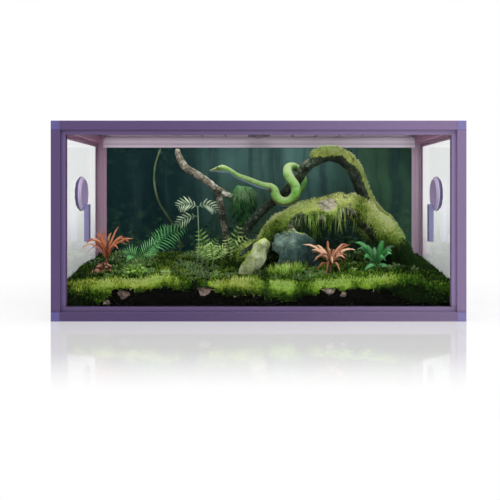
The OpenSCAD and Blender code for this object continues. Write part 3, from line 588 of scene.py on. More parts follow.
@dataclass(frozen=True)
class Pane(Finish):
    """Clear sheet glass that lets lamps through, with a stronger mirror low down for a painted
    reflection.
    """

    tint: Colour
    mirror: float
    low_mirror: float = 0.0

    def surface(self, p: Paint) -> Value:
        """The shader: see-through, with a mirror share that grows at grazing angles."""
        where = p.place()
        smear = p.noise(where, 3.0, 2.0)
        clear = p.node("ShaderNodeBsdfTransparent", sockets={0: self.tint})
        gloss = p.node("ShaderNodeBsdfGlossy", sockets={
            "Color": (1.0, 1.0, 1.0), "Roughness": 0.02 + 0.04 * smear})
        slant = p.node("ShaderNodeLayerWeight", sockets={"Blend": 0.5}, out="Facing")
        share = slant ** 3.0 * self.mirror + 0.001
        # Painted reflection: more mirror share low down on the pane, fading upwards.
        if self.low_mirror > 0:
            low_reflection = 1 - (p.axis(where, 2) + (smear - 0.5) * 0.10).span(0.06, 0.36)
            share = share * (1 + low_reflection * self.low_mirror)
        return p.node("ShaderNodeMixShader", sockets={0: share, 1: clear, 2: gloss})


@dataclass(frozen=True)
class ForestPrint(Finish):
    """A printed sheet with a misty wood: dim trunks, hanging vines, mist and far leaves.

    A trunk is its place along X, half its width and how pale it is. A vine is its place and how
    dark it is.
    """

    dark: Colour = srgb(17, 42, 46)
    mid: Colour = srgb(44, 80, 80)
    mist: Colour = srgb(114, 158, 152)
    leafy: Colour = srgb(84, 124, 86)
    trunks: tuple[tuple[float, float, float], ...] = (
        (-0.455, 0.030, 0.10), (-0.345, 0.016, 0.16), (-0.165, 0.024, 0.36),
        (-0.030, 0.014, 0.46), (0.065, 0.034, 0.55), (0.235, 0.018, 0.32), (0.335, 0.040, 0.40),
        (0.500, 0.028, 0.10))
    vines: tuple[tuple[float, float], ...] = (
        (-0.400, 0.9), (-0.245, 0.6), (0.010, 0.7), (0.175, 0.9), (0.285, 0.6), (0.430, 0.8))

    def leaves(self, p: Paint, base: Value, turn: float, scale: tuple[float, float], low: float,
               cover: Value, dark: Colour, light: Colour) -> Value:
        """Lays one layer of leaves over a picture.

        Args:
            p: The paint.
            base: The picture so far.
            turn: The leaves' slant.
            scale: Leaves per metre along X and Z.
            low: How full the layer is.
            cover: Where it lies.
            dark: The leaves' shaded colour.
            light: Their lit colour.

        Returns:
            The picture with the layer.
        """
        where = p.place((scale[0], 0.0, scale[1]), (0.0, turn, 0.0))
        shake = p.node("ShaderNodeTexNoise", sockets={"Vector": where, "Scale": 1.6}, out="Color")
        bent = p.node("ShaderNodeVectorMath", {"operation": "MULTIPLY_ADD"},
                      {0: shake, 1: (1.1, 0.0, 1.1), 2: where})
        shape = 1 - p.cells(bent, 1.0).span(0.26, 0.44)
        lit = p.axis(p.cells(bent, 1.0, "F1", "Color"), 0)
        clump = p.noise(p.place((8.0, 0.0, 8.0), (0.0, 0.4, 0.0)), 1.0, 3.0, 0.6)
        mask = shape * (clump + cover).span(low, low + 0.22)
        return p.mix(base, p.mix(dark, light, lit), mask)

    def surface(self, p: Paint) -> Value:
        """The shader, laid out over the sheet's X and Z."""
        where = p.place()
        x, z = p.axis(where, 0), p.axis(where, 2)
        drift = p.noise(p.place((3.0, 0.0, 2.2)), 1.0, 6.0, 0.66)
        sway = p.noise(p.place((0.8, 0.0, 4.5)), 1.0, 3.0, 0.55)
        bark = p.noise(p.place((90.0, 0.0, 7.0)), 1.0, 5.0, 0.72)
        shafts = p.noise(p.place((14.0, 0.0, 1.1), (0.0, 0.12, 0.0)), 1.0, 3.0, 0.6)
        blotch = p.noise(p.place((26.0, 0.0, 32.0)), 1.0, 6.0, 0.72)
        middle = 1 - (x - 0.06).size().span(0.05, 0.54)
        high = z.span(0.06, 0.48)
        glow = middle * (0.42 + 0.46 * high) * (0.25 + 0.9 * drift + 0.5 * (shafts - 0.5))
        base = p.mix(self.dark, self.mid, (drift * 0.8 + middle * 0.5).span(0.25, 1.1))
        base = p.mix(base, self.mist, glow.span(0.12, 0.95))
        grove = (1 - (x - 0.42).size().span(0.02, 0.30)) * (0.2 + 1.2 * drift)
        base = p.mix(base, self.leafy, grove.span(0.20, 1.2) * 0.8)
        glade = (1 - (x + 0.02).size().span(0.04, 0.22)) * (1 - z.span(0.30, 0.47))
        base = p.mix(base, self.leafy, glade * drift.span(0.25, 0.6) * 0.7)
        for k, (at, half, pale) in enumerate(self.trunks):
            edge = (x + (sway - 0.5) * (0.07 + 0.03 * (k % 3)) - at).size() + bark * 0.016
            body = 1 - edge.span(half * 0.60, half * 1.55)
            wood = p.mix(p.mix(self.dark, self.mist, pale), self.dark,
                         bark.span(0.36, 0.66) * 0.6 + edge.span(0.0, half) * 0.25)
            base = p.mix(base, wood, body * 0.72)
        for k, (at, low) in enumerate(self.vines):
            line = (x + (sway - 0.5) * (0.05 + 0.03 * k) - at).size()
            base = p.mix(base, self.dark, (1 - line.span(0.0012, 0.0110)) * low * 0.30)
        base = p.mix(base, p.mix(self.dark, self.leafy, drift.span(0.3, 0.7)),
                     (blotch + (1 - z.span(0.05, 0.45)) * 0.12).span(0.50, 0.72) * 0.55)
        base = p.mix(base, self.mist, shafts.span(0.58, 0.80) * middle * high * 0.25)
        # Painted shadow on the print, dark behind the root's hollow.
        root_shadow = (1 - (x - 0.26).size().span(0.12, 0.26)) * (1 - z.span(0.26, 0.36))
        base = p.mix(base, (0.35, 0.38, 0.36), root_shadow, "MULTIPLY")
        ground = 1 - z.span(0.14, 0.42)
        hang = z.span(0.42, 0.54) * (0.35 + 0.5 * (1 - middle))
        base = self.leaves(p, base, 0.5, (44.0, 78.0), 0.62, ground * 0.42 + hang * 0.30,
                           srgb(22, 52, 44), srgb(66, 108, 80))
        base = self.leaves(p, base, -0.7, (30.0, 62.0), 0.84, ground * 0.50 + hang * 0.40,
                           srgb(14, 44, 26), srgb(74, 124, 62))
        return p.shader(base, 0.85 + 0.1 * bark, p.bump(p.noise(where, 900.0, 1.0), 0.00002), 0.04)


@dataclass(frozen=True)
class Mossy(Finish):
    """Moss, with painted light at the tips of its cushions and painted shade between them."""

    deep: Colour = srgb(18, 30, 8)
    body: Colour = srgb(66, 96, 24)
    tip: Colour = srgb(142, 162, 48)
    top: Colour = srgb(190, 204, 96)
    # The colour of the painted shade towards the back.
    far: Colour = srgb(26, 50, 24)
    blades: bool = False
    lift: float = 0.08

    def surface(self, p: Paint) -> Value:
        """The shader; the tone attribute lifts or dims it, and blades get painted shade at their
        foot.
        """
        where = p.place()
        patch = p.noise(where, 9.0, 3.0, 0.6)
        speck = p.noise(where, 120.0, 4.0, 0.7)
        tone = p.attribute("tone")
        lift = (patch - 0.5) * 0.7 + (speck - 0.5) * (tone * 0.9 + 0.45) + tone * 0.85 + self.lift
        if self.blades:
            # Painted shade: blades darker at their foot.
            lift = lift + (p.axis(p.on_surface(), 0) - 0.6) * 0.35
        base = p.ramp(lift, (0.22, self.deep), (0.48, self.body), (0.74, self.tip),
                      (0.98, self.top))
        # Painted shade: where the tone is low, the moss goes to its deep colour.
        base = p.mix(self.deep, base, tone.span(-0.05, 0.26))
        # Painted shade towards the back, in the far colour, where the tone is low.
        back = p.axis(where, 1).span(-0.22, 0.10)
        base = p.mix(base, self.far, back * (1 - tone) * 0.7)
        base = p.mix(base, (0.62, 0.96, 0.62), p.noise(where, 4.5, 2.0).span(0.38, 0.62) * 0.75,
                     "MULTIPLY")
        facing = p.bump(speck, 0.0030)
        if self.blades:
            soft = p.node("ShaderNodeVectorMath", {"operation": "MULTIPLY_ADD"}, {
                0: p.attribute("skin", "Vector"), 1: (1.8, 1.8, 1.8),
                2: p.facing()})
            facing = p.node("ShaderNodeVectorMath", {"operation": "NORMALIZE"}, {0: soft})
        return p.shader(base, 0.85 + 0.1 * speck, facing, 0.08)


@dataclass(frozen=True)
class Rough(Finish):
    """Stone, soil or bark: three colours in patches, with a coarse and a fine relief."""

    dark: Colour
    body: Colour
    light: Colour
    scale: float
    stretch: Triple = (1.0, 1.0, 1.0)
    relief: float = 0.004
    moss: float = 0.0
    roughness: float = 0.8
    along: bool = False
    grown: bool = False
    gloss: float = 0.15
    cracks: float = 0.10

    def surface(self, p: Paint) -> Value:
        """The shader; moss creeps over what faces up, or where the cover value says."""
        where = p.on_surface(self.stretch) if self.along else p.place(self.stretch)
        patch = p.noise(where, self.scale, 5.0, 0.62, 0.4)
        crack = p.cells(where, self.scale * 1.7, "DISTANCE_TO_EDGE").span(0.0, 0.16)
        grain = p.noise(where, self.scale * 9.0, 4.0, 0.7)
        tone = p.attribute("tone")
        level = patch * 0.62 + grain * 0.22 + tone * 0.32 - (1 - crack) * self.cracks
        level = level + (p.noise(where, self.scale * 3.0, 4.0, 0.75) - 0.5) * 0.55
        base = p.ramp(level, (0.34, self.dark), (0.56, self.body), (0.78, self.light))
        rough = self.roughness + 0.15 * (grain - 0.5)
        if self.moss > 0:
            up = p.axis(p.facing(), 2)
            patchy = p.noise(p.place(), 30.0, 4.0, 0.6)
            creep = (up * 0.55 + patchy).span(1.12 - self.moss, 1.30 - self.moss)
            if self.grown:
                creep = (p.attribute("cover") + patchy * 0.6).span(0.45, 0.85)
            speck = p.noise(p.place(), 200.0, 3.0, 0.7) * 0.6 + tone * 0.55
            base = p.mix(base, p.ramp(speck, (0.28, srgb(24, 40, 12)), (0.52, srgb(128, 160, 54)),
                                      (0.80, srgb(224, 236, 130))), creep)
        height = patch * 0.55 + crack * self.cracks * 2.0 + grain * 0.25
        return p.shader(base, rough, p.bump(height, self.relief), self.gloss)


@dataclass(frozen=True)
class Leafy(Finish):
    """A leaf: paler midrib and edges, side veins, and a change from one leaf to the next."""

    dark: Colour
    body: Colour
    light: Colour
    roughness: float
    veins: float
    gloss: float = 0.25

    def surface(self, p: Paint) -> Value:
        """The shader, along and across each leaf's own UV map."""
        tone = p.attribute("tone")
        uv = p.on_surface()
        along, across = p.axis(uv, 0), p.axis(uv, 1)
        rib = 1 - ((across - 0.5) * (across - 0.5)).span(0.0, 0.012)
        wave = ((along + across * 0.35) * self.veins * 6.28).sine() * 0.5 + 0.5
        mottle = p.noise(p.place(), 120.0, 3.0)
        base = p.mix(p.mix(self.dark, self.body, (tone * 0.8 + mottle * 0.5).span(0.1, 0.9)),
                     self.light, (tone + mottle * 0.5 - 0.25).span(0.35, 1.1))
        base = p.mix(base, self.light, rib * 0.35 + wave * 0.10)
        # Painted shade: each leaf darker at its foot.
        base = p.mix(self.dark, base, along.span(-0.25, 0.40))
        return p.shader(base, self.roughness + 0.2 * mottle,
                        p.bump(wave * 0.6 + mottle * 0.4, 0.0004), self.gloss)


@dataclass(frozen=True)
class Scales(Finish):
    """A snake's skin: small scales, bright back, pale belly, and a brown stripe by the eye."""

    back: Colour = srgb(118, 238, 62)
    flank: Colour = srgb(204, 255, 148)
    belly: Colour = srgb(150, 178, 206)
    edge: Colour = srgb(38, 70, 22)
    # Painted shade on what faces down, in the amber brown that also marks the lower flanks.
    shade: Colour = srgb(92, 80, 26)
    # Painted highlight on what faces up.
    lit_crest: Colour = srgb(224, 255, 178)
    stripe: Colour = srgb(112, 92, 34)

    def surface(self, p: Paint) -> Value:
        """The shader, with scales in staggered rows over the UV map."""
        uv = p.on_surface((230.0, 17.0, 1.0))
        cell = p.cells(uv, 1.0)
        line = p.cells(uv, 1.0, "DISTANCE_TO_EDGE").span(0.0, 0.16)
        tone = p.attribute("tone")
        patch = p.noise(p.place(), 45.0, 3.0)
        base = p.mix(self.back, self.flank, (patch + tone * 0.3).span(0.38, 0.72))
        base = p.mix(base, self.edge, (1 - line) * 0.55 + cell.span(0.4, 1.0) * 0.15)
        up = p.axis(p.facing(), 2)
        # Painted shade on what faces down, partly the amber brown of the lower flanks, and a
        # painted highlight on what faces up.
        base = p.mix(base, self.shade, (0.0 - up).span(0.0, 0.70) * 0.90)
        base = p.mix(base, self.lit_crest, up.span(-0.05, 0.65) * 0.90)
        base = p.mix(base, self.stripe, p.attribute("stripe") * 0.85)
        base = p.mix(base, self.belly, tone.span(0.55, 0.75))
        base = p.mix(base, srgb(30, 40, 20), p.attribute("lip") * 0.8)
        return p.shader(base, 0.30 + 0.2 * cell, p.bump(line, 0.0008), 0.3, coat=0.16)


# ---- Geometry Nodes ----


class Tree(Nodes):
    """A Geometry Nodes tree with named inputs, which ends as a plain mesh with one finish."""

    def __init__(self, name: str, inputs: dict[str, str]) -> None:
        """Starts a tree.

        Args:
            name: The tree's name.
            inputs: Each further input's name and its kind of socket.
        """
        super().__init__(bpy.data.node_groups.new(name, "GeometryNodeTree"))
        face = self.tree.interface
        for label, kind in {"Geometry": "Geometry", **inputs}.items():
            face.new_socket(label, in_out="INPUT", socket_type="NodeSocket" + kind)
        face.new_socket("Geometry", in_out="OUTPUT", socket_type="NodeSocketGeometry")
        self.start = self.add("NodeGroupInput")

    def given(self, label: str) -> Value:
        """The value of a named input."""
        return Value(self, self.start.outputs[label])

    def vector(self, operation: str, a: Any, b: Any = None) -> Value:
        """A Vector Math node; SCALE takes its factor as b."""
        sockets = {0: a}
        if b is not None:
            sockets["Scale" if operation == "SCALE" else 1] = b
        return self.node("ShaderNodeVectorMath", {"operation": operation}, sockets)

    def stored(self, name: Value | str, kind: str = "FLOAT") -> Value:
        """A value that the geometry carries."""
        return self.node("GeometryNodeInputNamedAttribute", {"data_type": kind}, {0: name})

    def store(self, geometry: Any, name: str, value: Any, domain: str = "POINT",
              kind: str = "FLOAT") -> Value:
        """Stores a value on the geometry."""
        return self.node("GeometryNodeStoreNamedAttribute",
                         {"data_type": kind, "domain": domain},
                         {"Geometry": geometry, "Name": name, "Value": value})

    def chance(self, low: float, high: float, seed: int) -> Value:
        """A random number for each element."""
        return self.node("FunctionNodeRandomValue", {"data_type": "FLOAT"},
                         {2: low, 3: high, "Seed": seed}, 1)

    def end_with(self, geometry: Any) -> None:
        """Makes copies real, gives them the finish and ends the tree."""
        real = self.node("GeometryNodeRealizeInstances", sockets={0: geometry})
        done = self.node("GeometryNodeSetMaterial",
                         sockets={"Geometry": real, "Material": self.given("Finish")})
        self.add("NodeGroupOutput", sockets={0: done})

    def grow(self, base: Object, name: str, values: dict[str, Any]) -> Object:
        """Runs the tree on a base.

        Args:
            base: The object that it starts from, which stays as it was.
            name: The new piece's name.
            values: The inputs' values by name.

        Returns:
            A new object with the result as a plain mesh.
        """
        modifier = base.modifiers.new("grow", "NODES")
        modifier.node_group = self.tree
        for item in self.tree.interface.items_tree:
            if item.item_type == "SOCKET" and item.in_out == "INPUT" and item.name in values:
                modifier[item.identifier] = values[item.name]
        graph = bpy.context.evaluated_depsgraph_get()
        mesh = bpy.data.meshes.new_from_object(
            base.evaluated_get(graph), preserve_all_data_layers=True, depsgraph=graph)
        base.modifiers.remove(modifier)
        mesh.name = name
        return link(name, mesh)


def tufts_tree() -> Tree:
    """Scatters blades over a surface: more where a named value is high, leaning one way.

    Blades that reach the glass lie against it. Each keeps the way that its surface faces, leaned
    towards the sun, as its skin value.
    """
    t = Tree("tufts", {"Blade": "Object", "Where": "String", "Density": "Float",
                       "Size": "Float", "Seed": "Int", "Lean": "Vector", "Sun": "Vector",
                       "Loose": "Float", "Finish": "Material"})
    density = t.given("Density") * t.stored(t.given("Where"))
    spread = t.add("GeometryNodeDistributePointsOnFaces", sockets={
        "Mesh": t.given("Geometry"), "Density": density, "Seed": t.given("Seed")})
    way = t.vector("ADD", spread.outputs["Normal"], t.given("Lean"))
    turn = t.node("FunctionNodeAlignRotationToVector", {"axis": "Z"}, {"Vector": way})
    loose = t.node("ShaderNodeCombineXYZ", sockets={
        0: t.given("Loose") * t.chance(-1.0, 1.0, 11),
        1: t.given("Loose") * t.chance(-1.0, 1.0, 12),
        2: t.chance(0.0, 2 * math.pi, 13)})
    turn = t.node("FunctionNodeRotateRotation", {"rotation_space": "LOCAL"}, {
        0: turn, 1: t.node("FunctionNodeEulerToRotation", sockets={0: loose})})
    size = t.given("Size") * t.chance(0.55, 1.35, 14)
    copy = t.node("GeometryNodeObjectInfo", sockets={"Object": t.given("Blade")}, out="Geometry")
    blades = t.node("GeometryNodeInstanceOnPoints", sockets={
        "Points": spread.outputs["Points"], "Instance": copy, "Rotation": turn, "Scale": size})
    skin = t.vector("NORMALIZE", t.vector("ADD", spread.outputs["Normal"], t.given("Sun")))
    blades = t.store(blades, "skin", skin, "INSTANCE", "FLOAT_VECTOR")
    tone = t.chance(-0.25, 0.25, 15) + t.stored("tone")
    real = t.node("GeometryNodeRealizeInstances",
                  sockets={0: t.store(blades, "tone", tone, "INSTANCE")})
    place = t.vector("MAXIMUM", t.node("GeometryNodeInputPosition"), INSIDE[0])
    t.end_with(t.node("GeometryNodeSetPosition", sockets={
        "Geometry": real, "Position": t.vector("MINIMUM", place, INSIDE[1])}))
    return t


def fronds_tree() -> Tree:
    """Fronds along ribs: a tapering rib and leaflets that lean forward on both sides."""
    t = Tree("fronds", {"Leaflet": "Object", "Count": "Int", "Lean": "Float", "Droop": "Float",
                        "Rib": "Float", "Finish": "Material"})
    curve = t.node("GeometryNodeMeshToCurve", sockets={0: t.given("Geometry")})
    along = t.node("GeometryNodeSplineParameter", out="Factor")
    curve = t.store(curve, "along", along)
    points = t.add("GeometryNodeCurveToPoints", {"mode": "COUNT"},
                   {"Curve": curve, "Count": t.given("Count")})
    forward = points.outputs["Tangent"]
    face = t.stored("face", "FLOAT_VECTOR")
    side = t.vector("NORMALIZE", t.vector("CROSS_PRODUCT", face, forward))
    profile = t.add("ShaderNodeFloatCurve", sockets={"Value": t.stored("along")})
    shape = profile.mapping.curves[0].points
    shape[0].location, shape[1].location = (0.0, 0.0), (1.0, 0.12)
    for place in ((0.12, 0.45), (0.38, 1.0), (0.72, 0.72)):
        shape.new(*place)
    reach = Value(t, profile.outputs[0]) * t.stored("reach")
    copy = t.node("GeometryNodeObjectInfo", sockets={"Object": t.given("Leaflet")}, out="Geometry")
    down = t.node("ShaderNodeCombineXYZ", sockets={2: t.given("Droop") * -1.0})
    parts = []
    for sign, seed in ((1.0, 21), (-1.0, 22)):
        out = t.vector("SCALE", side, t.given("Lean").cosine() * sign)
        on = t.vector("SCALE", forward, t.given("Lean").sine())
        way = t.vector("ADD", t.vector("ADD", out, on), down)
        turn = t.node("FunctionNodeAxesToRotation", {"primary_axis": "X", "secondary_axis": "Z"},
                      {0: way, 1: face})
        size = reach * t.chance(0.86, 1.1, seed)
        leaflets = t.node("GeometryNodeInstanceOnPoints", sockets={
            "Points": points.outputs["Points"], "Instance": copy, "Rotation": turn, "Scale": size})
        parts.append(t.store(leaflets, "tone", t.chance(0.1, 0.9, 23), "INSTANCE"))
    thin = t.node("GeometryNodeSetCurveRadius", sockets={
        "Curve": curve, "Radius": 1.0 - along * 0.8})
    ring = t.node("GeometryNodeCurvePrimitiveCircle", sockets={
        "Resolution": 6, "Radius": t.given("Rib")})
    rib = t.node("GeometryNodeCurveToMesh", sockets={
        "Curve": thin, "Profile Curve": ring, "Fill Caps": True,
        "Scale": t.node("GeometryNodeInputRadius")})
    parts.append(t.store(rib, "tone", 0.35))
    t.end_with(t.node("GeometryNodeJoinGeometry", sockets={0: parts}))
    return t


# ---- Shared pieces ----


class Body(Enum):
    """The bodies that pieces ride on."""

    CABINET = "cabinet"


class LeafShape(Enum):
    """Half widths along a leaf, as shares of its greatest half width."""

    STRAP = (0.35, 0.7, 0.92, 1.0, 0.95, 0.8, 0.5, 0.05)
    OVAL = (0.12, 0.45, 0.85, 1.0, 0.95, 0.75, 0.42, 0.04)
    LANCE = (0.25, 0.75, 1.0, 0.95, 0.8, 0.6, 0.35, 0.03)


def settle(piece: Object, slot: str, *nodes: str) -> Object:
    """Makes a piece ride on the cabinet and hides the CAD nodes that it stands for."""
    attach(piece, Body.CABINET.value)
    if nodes:
        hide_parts(*nodes)
    log.info("%s: %d faces", piece.name, len(piece.data.polygons))
    return piece


def place(mesh: Mesh, name: str, material: Material, slot: str, *nodes: str,
          **values: Array) -> Object:
    """Builds a piece from a mesh, stores its per-point values and settles it."""
    piece = mesh.build(name, material)
    keep(piece, **values)
    return settle(piece, slot, *nodes)


def leaf(points: Sequence[Sequence[float]], width: float, shape: LeafShape, face: Sequence[float],
         fold: float = 0.25, thick: float = 0.0009, steps: int = 4, tone: float = 0.5,
         ruffle: float = 0.0, seed: int = 0) -> Mesh:
    """A closed thin leaf that bends along its points.

    Args:
        points: Points along the midrib, in metres.
        width: Greatest width.
        shape: How the width changes along it.
        face: The way its side points at its root.
        fold: How far its edges rise over the midrib, as a share of the half width.
        thick: Thickness at the midrib.
        steps: Rings between two points.
        tone: The leaf's tone.
        ruffle: Depth of the waves along its edges.
        seed: Sets the waves apart from those of other leaves.

    Returns:
        The leaf, with U along it and V across it from 0 to 1.
    """
    path = smooth_path(points, steps)
    share = np.linspace(0, 1, len(path))
    half = np.interp(share, np.linspace(0, 1, len(shape.value)), shape.value) * width / 2
    _, side, up = path_frames(path, face)
    rise = half * fold + ruffle * np.sin(share * 40 + seed) * (share > 0.1)
    drop = half * fold + ruffle * np.sin(share * 33 + 2 * seed + 1) * (share > 0.1)
    body = np.maximum(0.15, 1 - share) * thick / 2
    section = ((-1, rise), (-0.5, rise * 0.4 - body * 0.8), (0, -body),
               (0.5, drop * 0.4 - body * 0.8), (1, drop), (0.5, body * 0.8 + drop * 0.4),
               (0, body), (-0.5, body * 0.8 + rise * 0.4))
    made = loft(np.stack([path + side * (half * out)[:, None] + up * lift[:, None]
                          for out, lift in section], axis=1), tone=tone)
    across = [(out + 1) / 2 for out, _ in section]
    made.uv = np.vstack([np.stack([np.repeat(share, 8), np.tile(across, len(path))], axis=1),
                         [[0, 0.5], [1, 0.5]]])
    return made


def sprig(length: float, width: float) -> Mesh:
    """A tiny folded leaf of four faces that stands on +Z, for moss."""
    points = np.array([[0, 0, 0], [-width / 2, 0.22 * width, 0.45 * length],
                       [width / 2, 0.22 * width, 0.45 * length], [0, 0.35 * width, length]])
    return Mesh(points, [(0, 1, 2), (1, 3, 2), (0, 3, 1), (0, 2, 3)],
                np.array([[0, 0.5], [0.45, 0], [0.45, 1], [1, 0.5]]), np.full(4, 0.5))


def herb(leaves: int, reach: float, width: float, lift: float) -> Mesh:
    """A little rosette of folded leaves that stands on +Z."""
    made = Mesh()
    for k in range(leaves):
        a = 2.4 * k
        out = np.array([math.cos(a), math.sin(a), 0.0])
        side = np.array([-math.sin(a), math.cos(a), 0.0]) * width / 2
        size = reach * (0.7 + 0.3 * (k % 3) / 2)
        rise = np.array([0, 0, lift * (0.5 + 0.5 * k / leaves)])
        points = np.array([out * size * 0.08, out * size * 0.55 - side + rise,
                           out * size * 0.55 + side + rise, out * size + rise * 1.15,
                           out * size * 0.5 + rise * 0.72])
        made.add(Mesh(points, [(0, 4, 1), (0, 2, 4), (4, 3, 1), (4, 2, 3), (0, 1, 3), (0, 3, 2)],
                      np.array([[0, 0.5], [0.55, 0], [0.55, 1], [1, 0.5], [0.5, 0.5]]),
                      np.full(5, 0.5)))
    return made


def blade(length: float, width: float, bend: float) -> Mesh:
    """A short three-sided blade that stands on +Z and bends towards +X."""
    w = width / 2
    low = [[-w, -w * 0.6, 0], [w, -w * 0.6, 0], [0, w, 0]]
    mid = [[0.7 * x + bend * 0.35, 0.7 * y, length * 0.55] for x, y, _ in low]
    points = np.array([*low, *mid, [bend, 0, length]])
    faces = [(0, 1, 4, 3), (1, 2, 5, 4), (2, 0, 3, 5), (3, 4, 6), (4, 5, 6), (5, 3, 6), (2, 1, 0)]
    uv = np.stack([points[:, 2] / length, np.full(7, 0.5)], axis=1)
    return Mesh(points, faces, uv, np.full(7, 0.5))


# ---- Cabinet: the CAD nodes that keep their shape ----


def both(*names: str) -> list[str]:
    """The left and the right node of each pair."""
    return [side + name for name in names for side in ("left_", "right_")]


OUTSIDE = srgb(118, 100, 138)
# A second Anodised colour is the painted shade at the far left; the shade lines paint shade on the
# bottom rail, the lower door lip and in the steps of the profile.
CABINET: dict[str, tuple[Finish, list[str]]] = {
    "front_profile": (
        Anodised(srgb(134, 115, 151), srgb(90, 72, 114), shade_lines=((2, 0.018, 0.0165, 0.80),)),
        ["front_top_rail", "front_bottom_rail", "front_left_post", "front_right_post",
         *both("bottom_rail"), "rear_bottom_rail"]),
    "door_lip": (
        Anodised(srgb(152, 134, 172), srgb(114, 95, 138), shade_lines=((2, 0.036, 0.010, 0.82),)),
        ["top_door_track", "bottom_door_track", *both("jamb")]),
    "rear_profile": (
        Anodised(srgb(250, 236, 252), srgb(244, 224, 242), roughness=0.38, metallic=0.0, shade_lines=(
            (2, 0.580, 0.0074, 0.50), (2, 0.567, 0.0055, 0.82), (2, 0.5487, 0.0014, 0.55)),
            outside=OUTSIDE), ["rear_top_rail"]),
    "rear_post": (
        Anodised(srgb(188, 162, 184), srgb(184, 150, 172), roughness=0.38, metallic=0.1, shade_lines=(
            (0, 0.5585, 0.0016, 0.60), (0, -0.5585, 0.0016, 0.60)), outside=OUTSIDE),
        ["rear_left_post", "rear_right_post"]),
    "side_rail": (
        Anodised(srgb(206, 150, 188), roughness=0.40, metallic=0.1, outside=OUTSIDE),
        [*both("top_rail"), "lid_bar"]),
    "corner_block": (
        Anodised(srgb(128, 120, 172), srgb(100, 90, 150), roughness=0.48, metallic=0.1),
        ["corner_connectors"]),
    "panel_board": (Moulded(srgb(52, 54, 58), 0.6, grain=700.0, depth=0.0001),
                    ["rear_board", "base_panel"]),
    "lid_coat": (Moulded(srgb(150, 126, 150), 0.5, grain=1800.0, depth=0.00006),
                 both("mesh_lid")),
    "port_body": (Moulded(srgb(112, 98, 150), 0.38),
                  both("port_flange", "port_nut", "port_washer")),
    "dial_face": (Moulded(srgb(230, 212, 252), 0.32, hub=(0.020, 0.367)), both("dial")),
    "lever_bar": (Moulded(srgb(152, 146, 196), 0.38), both("lever")),
    "door_pane": (Pane((0.985, 0.993, 0.988), mirror=0.30), both("glass_door")),
    "side_pane": (Pane((0.985, 0.990, 0.990), mirror=0.26, low_mirror=3.6), both("side_glass")),
    "screw_steel": (Moulded(srgb(170, 170, 176), 0.3, grain=2400.0, depth=0.00002),
                    ["lid_screws"]),
    "forest_print": (ForestPrint(), ["forest_picture"]),
}


def dress_cabinet() -> None:
    """Gives every CAD node that stays its finish."""
    for name, (finish, nodes) in CABINET.items():
        material = finish.make(name)
        for node in nodes:
            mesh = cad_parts[node].data
            mesh.materials.clear()
            mesh.materials.append(material)
    log.info("cabinet: %d finishes", len(CABINET))


# ---- Ground ----


